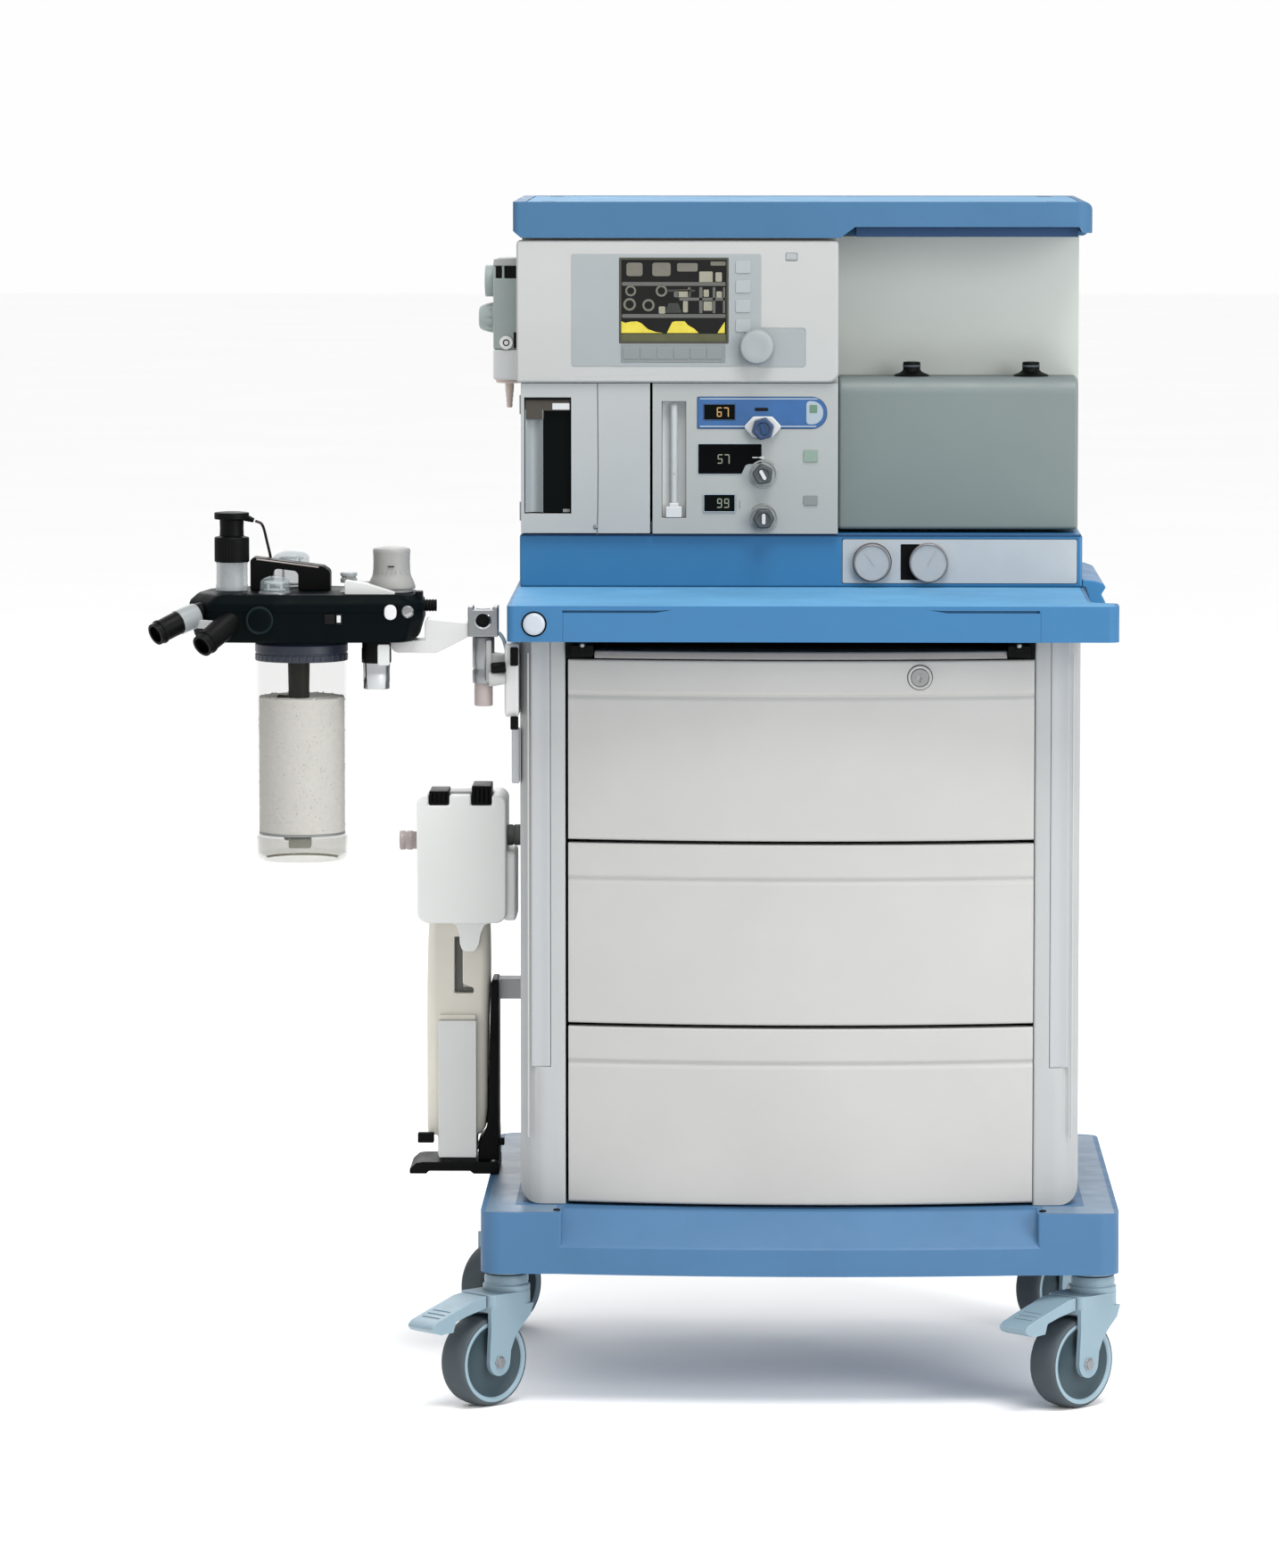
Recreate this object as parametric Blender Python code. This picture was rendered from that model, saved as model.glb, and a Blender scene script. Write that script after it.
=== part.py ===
"""Anesthesia machine on a four-caster cart: cabinet, worktop, head and swing-out breathing system.

Units are metres, +Z is up and the front of the machine faces -Y. Every piece is modelled in cart
coordinates, with X = 0 on the cart's centre plane, and then carried by the empty "machine", which
puts the origin at the bottom centre of the whole machine's box.
"""
from math import cos, pi, radians, sin

import bmesh
import bpy
from mathutils import Matrix, Vector

# ---- driving dimensions -----------------------------------------------------------------------
GAP = 0.0004

LEFT_REACH = 0.7287
RIGHT_REACH = 0.3600
FRONT_REACH = 0.3921
BACK_REACH = 0.3500

WHEEL_RADIUS = 0.0515
WHEEL_WIDTH = 0.038
CASTER_TRAIL = 0.035
CASTER_SPAN = 0.332
CASTER_FRONT = -0.285
CASTER_BACK = 0.245
CASTER_TURN = radians(225)
FORK_TOP = 0.1472

BASE_BOTTOM = 0.155
BASE_TOP = 0.223
BASE_HALF = 0.360
BASE_FRONT = -0.335
BASE_BACK = 0.305
NOSE_FRONT = -0.352

CABINET_LEFT = -0.317
CABINET_RIGHT = 0.316
CABINET_FRONT = -0.270
CABINET_BACK = 0.290
COLUMN_WIDTH = 0.052
COLUMN_DEPTH = 0.065
SHEET = 0.016

DRAWER_LEFT = -0.262
DRAWER_RIGHT = 0.2635
DRAWER_FLOORS = {"bottom": 0.2262, "middle": 0.4310, "top": 0.6395}
DRAWER_HEIGHTS = {"bottom": 0.2008, "middle": 0.2045, "top": 0.2040}
DRAWER_BOW = 0.026
DRAWER_BACK = 0.200
WALL = 0.006

TRAY_BOTTOM = 0.8445
TRAY_TOP = 0.8535
TRAY_HALF = 0.2325

WORKTOP_LEFT = -0.328
WORKTOP_RIGHT = 0.326
WORKTOP_EAR = 0.355
WORKTOP_FRONT = -0.355
WORKTOP_BACK = 0.310
WORKTOP_BOTTOM = 0.869
WORKTOP_TOP = 0.909

RISER_FRONT = -0.047
RISER_SEAT = 0.0006
RISER_TOP = 0.9707
HEAD_LEFT = -0.3215
HEAD_SPLIT = 0.0430
HEAD_RIGHT = 0.3235
HEAD_FRONT = -0.055
HEAD_CORE = -0.030
HEAD_BACK = 0.315
HEAD_TOP = 1.3110
MONITOR_BOTTOM = 1.1455
BAY_FRONT = 0.060
CAP_BOTTOM = 1.3117
CAP_TOP = 1.3530

PIVOT = (-0.358, -0.250)
BLOCK_BOTTOM = 0.864
BLOCK_TOP = 0.918
CANISTER = (-0.5637, -0.250)
CANISTER_RADIUS = 0.0512
CANISTER_BOTTOM = 0.614

SCAVENGER_LEFT = -0.444
SCAVENGER_RIGHT = -0.340

PANEL_GREY = (0.63, 0.65, 0.66)
PAINT_BLUE = (0.07, 0.22, 0.46)
WHITE = (0.78, 0.78, 0.78)
BLACK = (0.012, 0.013, 0.014)
STEEL = (0.55, 0.57, 0.58)


# ---- modelling helpers ------------------------------------------------------------------------
def clear_scene():
    for old in list(bpy.data.objects):
        bpy.data.objects.remove(old, do_unlink=True)


def object_from(name, shape):
    """Turn a bmesh into an object with outward faces."""
    bmesh.ops.remove_doubles(shape, verts=shape.verts, dist=0.000001)
    bmesh.ops.recalc_face_normals(shape, faces=shape.faces)
    mesh = bpy.data.meshes.new(name)
    shape.to_mesh(mesh)
    shape.free()
    piece = bpy.data.objects.new(name, mesh)
    bpy.context.collection.objects.link(piece)
    return piece


def block(name, low, high, bevel=0.0, segments=2):
    """A box between two corners, with every edge rounded when a bevel is given."""
    shape = bmesh.new()
    bmesh.ops.create_cube(shape, size=1.0)
    size = [b - a for a, b in zip(low, high)]
    middle = [(a + b) / 2 for a, b in zip(low, high)]
    bmesh.ops.scale(shape, vec=size, verts=shape.verts)
    bmesh.ops.translate(shape, vec=middle, verts=shape.verts)
    if bevel:
        bmesh.ops.bevel(shape, geom=shape.edges[:], offset=bevel, segments=segments,
                        profile=0.5, affect="EDGES", clamp_overlap=True)
    return object_from(name, shape)


def rounded(corners, radius, steps=4):
    """An outline with its corners rounded; radius is one number or one for each corner."""
    count = len(corners)
    radii = radius if isinstance(radius, (list, tuple)) else [radius] * count
    outline = []
    for i, corner in enumerate(corners):
        here = Vector(corner)
        back = (Vector(corners[i - 1]) - here).normalized()
        ahead = (Vector(corners[(i + 1) % count]) - here).normalized()
        if radii[i] <= 0:
            outline.append(tuple(here))
            continue
        half = back.angle(ahead) / 2
        reach = radii[i] / sin(half)
        centre = here + (back + ahead).normalized() * reach
        tangent = radii[i] * cos(half) / sin(half)
        start = (here + back * tangent - centre).normalized()
        stop = (here + ahead * tangent - centre).normalized()
        for k in range(steps + 1):
            outline.append(tuple(centre + start.slerp(stop, k / steps) * radii[i]))
    return outline


def prism(name, outline, axis, start, stop, bevel=0.0, segments=2):
    """Extrude a flat outline along X, Y or Z; a bevel rounds only the two rims."""
    shape = bmesh.new()
    place = {"X": lambda a, b: (start, a, b), "Y": lambda a, b: (a, start, b), "Z": lambda a,
             b: (a, b, start)}
    face = shape.faces.new([shape.verts.new(place[axis](a, b)) for a, b in outline])
    lifted = bmesh.ops.extrude_face_region(shape, geom=[face])["geom"]
    step = Vector([stop - start if letter == axis else 0.0 for letter in "XYZ"])
    far = [item for item in lifted if isinstance(item, bmesh.types.BMVert)]
    bmesh.ops.translate(shape, vec=step, verts=far)
    if bevel:
        rims = [edge for edge in shape.edges
                if abs((edge.verts[0].co - edge.verts[1].co).dot(step)) < 1e-9]
        bmesh.ops.bevel(shape, geom=rims, offset=bevel, segments=segments,
                        profile=0.5, affect="EDGES", clamp_overlap=True)
    return object_from(name, shape)


def turned(name, profile, centre, axis="Z", steps=24, bored=False):
    """Spin (radius, height) pairs about an axis through centre; a bored profile closes on itself."""
    shape = bmesh.new()
    turn = {"X": Matrix.Rotation(pi / 2, 4, "Y"), "Y": Matrix.Rotation(-pi / 2, 4, "X"), "Z": Matrix()}
    rings = []
    for radius, height in profile:
        if radius < 1e-7:
            rings.append([shape.verts.new((0, 0, height))] * steps)
            continue
        ring = []
        for k in range(steps):
            angle = 2 * pi * (k + 0.5) / steps
            ring.append(shape.verts.new((radius * cos(angle), radius * sin(angle), height)))
        rings.append(ring)
    pairs = list(zip(rings, rings[1:]))
    if bored:
        pairs.append((rings[-1], rings[0]))
    for lower, upper in pairs:
        for k in range(steps):
            n = (k + 1) % steps
            corners = [lower[k], lower[n], upper[n], upper[k]]
            distinct = list(dict.fromkeys(corners))
            if len(distinct) > 2:
                shape.faces.new(distinct)
    if not bored:
        for ring in (rings[0], rings[-1]):
            if ring[0] is not ring[1]:
                shape.faces.new(ring)
    shape.transform(Matrix.Translation(centre) @ turn[axis])
    return object_from(name, shape)


def rod(name, start, stop, radius, steps=20, end_radius=None):
    """A straight round bar, or a cone, between two points."""
    line = Vector(stop) - Vector(start)
    shape = bmesh.new()
    bmesh.ops.create_cone(shape, cap_ends=True, segments=steps, radius1=radius,
                          radius2=radius if end_radius is None else end_radius, depth=line.length)
    turn = line.to_track_quat("Z", "Y").to_matrix().to_4x4()
    shape.transform(Matrix.Translation((Vector(start) + Vector(stop)) / 2) @ turn)
    return object_from(name, shape)


def combine(target, tool, operation):
    """Apply one exact Boolean to target and remove the tool."""
    change = target.modifiers.new(operation, "BOOLEAN")
    change.operation = operation
    change.solver = "EXACT"
    change.object = tool
    graph = bpy.context.evaluated_depsgraph_get()
    shaped = bpy.data.meshes.new_from_object(target.evaluated_get(graph))
    target.modifiers.clear()
    target.data = shaped
    bpy.data.objects.remove(tool, do_unlink=True)


def join(target, *tools):
    for tool in tools:
        combine(target, tool, "UNION")


def carve(target, *tools):
    for tool in tools:
        combine(target, tool, "DIFFERENCE")


def dress(piece, colour, roughness=0.45, metallic=0.0, smooth=False):
    """Give a piece its own Principled material, and smooth shading when it is round."""
    look = bpy.data.materials.new(piece.name)
    look.use_nodes = True
    shader = look.node_tree.nodes["Principled BSDF"]
    shader.inputs["Base Color"].default_value = (*colour, 1.0)
    shader.inputs["Roughness"].default_value = roughness
    shader.inputs["Metallic"].default_value = metallic
    look.diffuse_color = (*colour, 1.0)
    piece.data.materials.clear()
    piece.data.materials.append(look)
    if smooth:
        piece.data.shade_smooth()
        piece.data.set_sharp_from_angle(angle=radians(35))
    return piece


def pivot_at(piece, point):
    """Move a piece's origin to a point on its joint's axis without moving the piece."""
    shift = Vector(point) - piece.location
    piece.data.transform(Matrix.Translation(-shift))
    piece.location = Vector(point)
    return piece


# ---- cart -------------------------------------------------------------------------------------
def caster_places():
    """Name, X and Y of each caster's swivel axis, and whether it has a brake pedal."""
    return [("front_left", -CASTER_SPAN, CASTER_FRONT, True),
            ("front_right", CASTER_SPAN, CASTER_FRONT, True),
            ("back_left", -CASTER_SPAN, CASTER_BACK, False),
            ("back_right", CASTER_SPAN, CASTER_BACK, False)]


def bowed_ring(half, middle, ends, back, height, steps=12):
    """A ring at one height whose front runs in a bow from ends through middle to ends."""
    front = [-1 + 2 * k / steps for k in range(steps + 1)]
    ring = [(half * across, middle + (ends - middle) * across ** 2, height) for across in front]
    return ring + [(half, back, height), (-half, back, height)]


def lofted(name, rings):
    """A closed body through rings of equal length, from the lowest to the highest."""
    shape = bmesh.new()
    rows = [[shape.verts.new(point) for point in ring] for ring in rings]
    shape.faces.new(reversed(rows[0]))
    shape.faces.new(rows[-1])
    for low, high in zip(rows, rows[1:]):
        for k in range(len(low)):
            after = (k + 1) % len(low)
            shape.faces.new((low[k], low[after], high[after], high[k]))
    return object_from(name, shape)


def base_frame():
    """The chassis, whose bowed nose slopes back between the two front corner blocks."""
    corners = [(-BASE_HALF, BASE_FRONT), (BASE_HALF, BASE_FRONT), (BASE_HALF, BASE_BACK),
               (-BASE_HALF, BASE_BACK)]
    slab = prism("base_frame", rounded(corners, 0.022), "Z", BASE_BOTTOM, BASE_TOP, bevel=0.004)
    nose_half = 0.268
    nose_back = -0.280
    ends = BASE_FRONT + 0.001
    slope_foot = 0.185
    drop = 0.004
    carve(slab, block("notch", (-nose_half, BASE_FRONT - 0.01, BASE_BOTTOM - 0.01),
                      (nose_half, nose_back - 0.006, BASE_TOP + 0.01)))
    lap = 0.0006
    rings = [bowed_ring(nose_half + lap, middle, edge, nose_back, height)
             for middle, edge, height in ((NOSE_FRONT + 0.003, ends + 0.002, BASE_BOTTOM - drop),
                                          (NOSE_FRONT, ends, BASE_BOTTOM),
                                          (NOSE_FRONT, ends, slope_foot),
                                          (-0.3085, -0.2900, BASE_TOP - 0.0005))]
    join(slab, lofted("nose", rings))
    boss_radius = 0.0245
    for _, x, y, _ in caster_places():
        join(slab, rod("boss", (x, y, FORK_TOP + GAP), (x, y, BASE_BOTTOM + 0.01), boss_radius))
    return dress(slab, PAINT_BLUE, 0.4)


def caster_frame(x, y):
    """Caster coordinates: local +X trails from the swivel axis to the wheel, local Y is the axle."""
    return Matrix.Translation((x, y, 0)) @ Matrix.Rotation(CASTER_TURN, 4, "Z")


def caster_fork(name, x, y):
    crown_bottom = 0.1085
    crown_top = 0.128
    leg_inner = 0.0215
    leg_outer = 0.0270
    leg_end = 0.0155
    crown = rounded([(-0.026, -leg_outer), (0.048, -leg_outer), (0.048, leg_outer), (-0.026, leg_outer)],
                    [0.020, 0.004, 0.004, 0.020])
    fork = prism("fork_" + name, crown, "Z", crown_bottom, crown_top, bevel=0.002, segments=1)
    join(fork, turned("collar", [(0, crown_top - 0.002), (0.0255, crown_top - 0.002),
                                 (0.0240, FORK_TOP - 0.006),
                                 (0.0240, FORK_TOP), (0, FORK_TOP)], (0, 0, 0), steps=20))
    leg = [(-0.014, crown_bottom + 0.004), (-0.004, 0.092)]
    for k in range(9):
        angle = pi + pi * k / 8
        leg.append((CASTER_TRAIL + leg_end * cos(angle), WHEEL_RADIUS + leg_end * sin(angle)))
    leg.append((0.047, crown_bottom + 0.004))
    join(fork, prism("leg", leg, "Y", leg_inner, leg_outer), prism("leg", leg, "Y", -leg_outer, -leg_inner))
    axle_radius = 0.0050
    hub = WHEEL_RADIUS
    join(fork, rod("axle", (CASTER_TRAIL, -leg_outer - 0.002, hub), (CASTER_TRAIL, leg_outer + 0.002, hub),
                   axle_radius, steps=12))
    fork.data.transform(caster_frame(x, y))
    dress(fork, (0.30, 0.40, 0.44), 0.35, 0.3, smooth=True)
    return pivot_at(fork, (x, y, FORK_TOP))


def caster_wheel(name, x, y):
    """A wheel whose tread stands on one of its flats, so the flat touches the floor."""
    steps = 24
    half = WHEEL_WIDTH / 2
    tread = WHEEL_RADIUS / cos(pi / steps)
    half_profile = [(0.0055, 0.0205), (0.0120, 0.0205), (0.0135, 0.0160), (0.0360, 0.0160), (0.0390, half),
                    (0.0455, half), (0.0500, 0.0140), (tread, 0.0080)]
    profile = half_profile + [(radius, -along) for radius, along in reversed(half_profile)]
    wheel = turned("wheel_" + name, profile, (CASTER_TRAIL, 0, WHEEL_RADIUS), axis="Y", steps=steps,
                   bored=True)
    wheel.data.transform(caster_frame(x, y))
    dress(wheel, (0.10, 0.13, 0.14), 0.6, smooth=True)
    return pivot_at(wheel, caster_frame(x, y) @ Vector((CASTER_TRAIL, 0, WHEEL_RADIUS)))


def brake_pedal(name, x, y):
    side = [(0.0500, 0.1275), (0.0750, 0.1220), (0.1280, 0.1050), (0.1320, 0.0980), (0.1180, 0.0910),
            (0.1000, 0.0920), (0.0960, 0.1035), (0.0600, 0.1120), (0.0500, 0.1140)]
    half = 0.0205
    pedal = prism("brake_pedal_" + name, side, "Y", -half, half, bevel=0.001, segments=1)
    pedal.data.transform(caster_frame(x, y))
    dress(pedal, (0.34, 0.43, 0.50), 0.4)
    return pivot_at(pedal, caster_frame(x, y) @ Vector((0.055, 0, 0.118)))


def casters():
    for name, x, y, braked in caster_places():
        caster_fork(name, x, y)
        caster_wheel(name, x, y)
        if braked:
            brake_pedal(name, x, y)


# ---- cabinet ----------------------------------------------------------------------------------
def side_panel(name, outer, inward):
    """A side sheet with a rounded front column and three drawer runners on its inner face."""
    edge = outer + inward * COLUMN_WIDTH
    sheet = outer + inward * SHEET
    column_back = CABINET_FRONT + COLUMN_DEPTH
    back = CABINET_BACK - SHEET - GAP
    corners = [(outer, CABINET_FRONT), (edge, CABINET_FRONT), (edge, column_back), (sheet, column_back),
               (sheet, back), (outer, back)]
    outline = rounded(corners, [0.030, 0.003, 0, 0, 0, 0], steps=5)
    panel = prism(name, outline, "Z", BASE_TOP + GAP, WORKTOP_BOTTOM - GAP)
    runner_height = 0.012
    runner_reach = abs(DRAWER_LEFT) - 0.0045
    for floor in DRAWER_FLOORS.values():
        low = floor + 0.095
        spread = sorted((sheet - inward * 0.002, -inward * runner_reach))
        join(panel, block("runner", (spread[0], -0.190, low), (spread[1], 0.250, low + runner_height)))
    return dress(panel, PANEL_GREY, 0.45)


def cabinet_back():
    panel = block("cabinet_back", (CABINET_LEFT, CABINET_BACK - SHEET, BASE_TOP + GAP),
                  (CABINET_RIGHT, CABINET_BACK, WORKTOP_BOTTOM - GAP))
    return dress(panel, PANEL_GREY, 0.5)


def bow_line(left, right, back, steps=12):
    """The bowed front outline shared by the drawers and the tray, closed by a straight back."""
    half = (right - left) / 2
    middle = (right + left) / 2
    line = []
    for k in range(steps + 1):
        across = -1 + 2 * k / steps
        reach = DRAWER_BOW * (1 - (across * half / DRAWER_RIGHT) ** 2)
        line.append((middle + across * half, CABINET_FRONT - reach))
    return line + [(right, back), (left, back)]


def drawer(level):
    """A bowed front with an open box behind it that clears the columns and the runners."""
    floor = DRAWER_FLOORS[level]
    height = DRAWER_HEIGHTS[level]
    front_back = CABINET_FRONT + 0.018
    front = prism("drawer_" + level, bow_line(DRAWER_LEFT, DRAWER_RIGHT, front_back), "Z", floor,
                  floor + height)
    box_half = 0.2558
    box_low = floor + 0.008
    box_high = floor + 0.178
    shift = (DRAWER_LEFT + DRAWER_RIGHT) / 2
    body = block("body", (shift - box_half, front_back - 0.004, box_low),
                 (shift + box_half, DRAWER_BACK, box_high))
    join(front, body)
    carve(front, block("hollow", (shift - box_half + WALL, front_back + WALL, box_low + WALL),
                       (shift + box_half - WALL, DRAWER_BACK - WALL, box_high + 0.01)))
    if level == "top":
        x, z, radius = lock_place()
        carve(front, rod("lock_hole", (x, CABINET_FRONT + 0.004, z), (x, -0.32, z), radius + GAP))
    return dress(front, (0.60, 0.60, 0.61), 0.45)


def lock_place():
    return 0.1340, 0.8246, 0.0135


def drawer_lock():
    x, z, radius = lock_place()
    barrel = rod("drawer_lock", (x, -0.2912, z), (x, CABINET_FRONT + 0.0035, z), radius)
    dress(barrel, (0.45, 0.46, 0.46), 0.3, 0.8, smooth=True)
    return pivot_at(barrel, (x, -0.2912, z))


def tray_guide():
    """A plate under the worktop with a rail and a latch each side of the writing tray."""
    left = CABINET_LEFT + COLUMN_WIDTH + GAP
    right = CABINET_RIGHT - COLUMN_WIDTH - GAP
    top = WORKTOP_BOTTOM - GAP
    plate_bottom = 0.8642
    front = -0.268
    back = 0.150
    guide = block("tray_guide", (left, front + 0.03, plate_bottom), (right, back, top))
    inner = TRAY_HALF + 0.0015
    for low, high in ((left, -inner), (inner, right)):
        join(guide, block("rail", (low, front, 0.8442), (high, back, plate_bottom + 0.001)))
    return dress(guide, BLACK, 0.5)


def writing_tray():
    plate = prism("writing_tray", bow_line(-TRAY_HALF, TRAY_HALF, 0.100), "Z", TRAY_BOTTOM, TRAY_TOP)
    return dress(plate, (0.50, 0.53, 0.56), 0.4)


# ---- worktop and riser ------------------------------------------------------------------------
def flush_place():
    return -0.2975, 0.8890, 0.0125


def worktop():
    """The blue shelf, with a bumper ear at its right front corner and two grip recesses."""
    corners = [(WORKTOP_LEFT, WORKTOP_FRONT), (WORKTOP_EAR, WORKTOP_FRONT), (WORKTOP_EAR, -0.300),
               (WORKTOP_RIGHT, -0.285), (WORKTOP_RIGHT, WORKTOP_BACK), (WORKTOP_LEFT, WORKTOP_BACK)]
    outline = rounded(corners, [0.008, 0.012, 0.010, 0.010, 0.012, 0.012])
    shelf = prism("worktop", outline, "Z", WORKTOP_BOTTOM, WORKTOP_TOP, bevel=0.004)
    grip_depth = 0.005
    grip_reach = 0.018
    for low, high in ((-0.265, -0.142), (0.133, 0.267)):
        carve(shelf, block("grip", (low, WORKTOP_FRONT - 0.01, WORKTOP_TOP - grip_depth),
                           (high, WORKTOP_FRONT + grip_reach, WORKTOP_TOP + 0.01)))
    carve(shelf, block("seat", (-0.40, RISER_FRONT - 0.003, WORKTOP_TOP - RISER_SEAT),
                       (0.40, 0.40, WORKTOP_TOP + 0.01)))
    x, z, radius = flush_place()
    carve(shelf, rod("pocket", (x, WORKTOP_FRONT - 0.01, z), (x, WORKTOP_FRONT + 0.020, z),
                     radius + 0.0005))
    return dress(shelf, PAINT_BLUE, 0.35)


def flush_button():
    x, z, radius = flush_place()
    button = turned("flush_button", [(0, -0.0040), (0.0100, -0.0040), (radius, -0.0022), (radius, 0.0120),
                                     (0, 0.0120)],
                    (x, WORKTOP_FRONT, z), axis="Y")
    dress(button, WHITE, 0.35, smooth=True)
    return pivot_at(button, (x, WORKTOP_FRONT, z))


def gauge_pocket():
    return 0.0486, 0.3187, 0.9139, 0.9645


def riser():
    top = RISER_TOP - GAP
    foot = WORKTOP_TOP - RISER_SEAT + GAP
    body = block("riser", (-0.324, RISER_FRONT, foot), (0.325, WORKTOP_BACK - 0.005, top), bevel=0.003)
    left, right, low, high = gauge_pocket()
    carve(body, block("pocket", (left - GAP, RISER_FRONT - 0.01, low - GAP),
                      (right + GAP, RISER_FRONT + 0.006, high + GAP)))
    return dress(body, PAINT_BLUE, 0.4)


def gauge_panel():
    left, right, low, high = gauge_pocket()
    panel = block("gauge_panel", (left, RISER_FRONT + 0.0005, low), (right, RISER_FRONT + 0.0056, high))
    return dress(panel, (0.62, 0.68, 0.72), 0.4)


def pressure_gauge(name, x, radius):
    face = turned(name, [(0, -0.0130), (radius - 0.004, -0.0130), (radius - 0.001, -0.0110),
                         (radius, -0.0080),
                         (radius, 0.0), (0, 0.0)], (x, RISER_FRONT + 0.0001, 0.938), axis="Y")
    return dress(face, WHITE, 0.4, smooth=True)


def side_rail():
    """A hooked accessory rail along the riser's right side, beside the worktop."""
    profile = [(0.3254, 0.9180), (0.3400, 0.9165), (0.3500, 0.9130), (0.3525, 0.9090), (0.3475, 0.9010),
               (0.3525, 0.8910), (0.3350, 0.8905), (0.3290, 0.9090), (0.3254, 0.9105)]
    rail = prism("side_rail", profile, "Y", RISER_FRONT + 0.004, 0.280)
    return dress(rail, (0.06, 0.19, 0.40), 0.4)


# ---- head -------------------------------------------------------------------------------------
def head_shell():
    """The left head casing, open at its front where the monitor, door and flow panel close it."""
    wall = 0.012
    floor = RISER_TOP
    shell = block("head_shell", (HEAD_LEFT, HEAD_CORE, floor), (HEAD_SPLIT, HEAD_BACK, HEAD_TOP))
    carve(shell, block("hollow", (HEAD_LEFT + wall, HEAD_CORE - 0.01, floor + wall),
                       (HEAD_SPLIT - wall, HEAD_BACK - wall, HEAD_TOP - wall)))
    return dress(shell, (0.60, 0.62, 0.62), 0.45)


def screen_place():
    return -0.2080, -0.0840, 1.1914, 1.2881


def monitor_housing():
    corners = [(-0.327, MONITOR_BOTTOM), (HEAD_SPLIT, MONITOR_BOTTOM), (HEAD_SPLIT, 1.3086),
               (-0.327, 1.3086)]
    housing = prism("monitor_housing", rounded(corners, [0.003, 0.012, 0.004, 0.004]), "Y",
                    -0.0600, HEAD_CORE - GAP, bevel=0.002, segments=1)
    left, right, low, high = screen_place()
    carve(housing, block("pocket", (left - GAP, -0.07, low - GAP), (right + GAP, -0.0540, high + GAP)))
    return dress(housing, (0.64, 0.65, 0.66), 0.45)


def monitor_screen():
    left, right, low, high = screen_place()
    screen = block("monitor_screen", (left, -0.0583, low), (right, -0.0544, high))
    return dress(screen, (0.03, 0.03, 0.02), 0.15)


def menu_knob():
    centre = (-0.0507, -0.0604, 1.1868)
    knob = turned("menu_knob", [(0, -0.0180), (0.0165, -0.0180), (0.0190, -0.0160), (0.0205, 0.0),
                                (0, 0.0)],
                  centre, axis="Y")
    dress(knob, (0.66, 0.68, 0.69), 0.4, smooth=True)
    return pivot_at(knob, centre)


def tube_recess():
    return -0.1600, -0.1320, 0.9893, 1.1237


def flow_panel():
    corners = [(-0.1706, RISER_TOP + GAP), (HEAD_SPLIT, RISER_TOP + GAP), (HEAD_SPLIT, 1.1446),
               (-0.1706, 1.1446)]
    panel = prism("flow_panel", corners, "Y", HEAD_FRONT, HEAD_CORE - GAP)
    left, right, low, high = tube_recess()
    carve(panel, block("recess", (left, HEAD_FRONT - 0.01, low), (right, HEAD_FRONT + 0.016, high)))
    return dress(panel, PANEL_GREY, 0.45)


def flow_tube():
    """The clear flow tube standing on its socket inside the recess."""
    left, right, low, _ = tube_recess()
    profile = [(0, low + 0.001), (0.0070, low + 0.001), (0.0070, low + 0.013), (0.0054, low + 0.014),
               (0.0054, 1.1225), (0, 1.1225)]
    tube = turned("flow_tube", profile, ((left + right) / 2, HEAD_FRONT + 0.0080, 0), steps=16)
    return dress(tube, (0.75, 0.78, 0.78), 0.1, smooth=True)


def flow_knob(name, x, z, radius, colour):
    """A control knob with shallow flutes cut around its rim."""
    centre = (x, HEAD_FRONT - GAP, z)
    flutes = 6
    outline = []
    for k in range(flutes * 4):
        angle = 2 * pi * k / (flutes * 4)
        outline.append((x + radius * (0.94 + 0.06 * cos(flutes * angle)) * cos(angle),
                        z + radius * (0.94 + 0.06 * cos(flutes * angle)) * sin(angle)))
    knob = prism(name, outline, "Y", HEAD_FRONT - 0.0200, HEAD_FRONT - GAP, bevel=0.0015, segments=1)
    dress(knob, colour, 0.4, smooth=True)
    return pivot_at(knob, centre)


def ventilator_door():
    left, right, low, high = -0.3222, -0.1735, 0.9717, 1.1446
    corners = [(left, low), (right, low), (right, high), (left, high)]
    door = prism("ventilator_door", corners, "Y", HEAD_FRONT, HEAD_CORE - GAP)
    pane_left, pane_right, pane_low, pane_high = window_place()
    carve(door, block("opening", (pane_left - GAP, HEAD_FRONT - 0.01, pane_low - GAP),
                      (pane_right + GAP, HEAD_CORE + 0.01, pane_high + GAP)))
    dress(door, PANEL_GREY, 0.45)
    return pivot_at(door, (left, HEAD_CORE - GAP, low))


def window_place():
    return -0.3180, -0.2647, 0.9945, 1.1279


def door_window():
    left, right, low, high = window_place()
    pane = block("door_window", (left, -0.0460, low), (right, -0.0420, high))
    dress(pane, (0.05, 0.07, 0.07), 0.08)
    return pivot_at(pane, (-0.3222, HEAD_CORE - GAP, low))


def ventilator_cylinder():
    profile = [(0, 0.9835), (0.0500, 0.9835), (0.0500, 0.9950), (0.0460, 0.9960), (0.0460, 1.1100),
               (0.0500, 1.1110), (0.0500, 1.1240), (0, 1.1240)]
    cylinder = turned("ventilator_cylinder", profile, (-0.2450, 0.0500, 0))
    return dress(cylinder, (0.42, 0.44, 0.45), 0.35, smooth=True)


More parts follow.
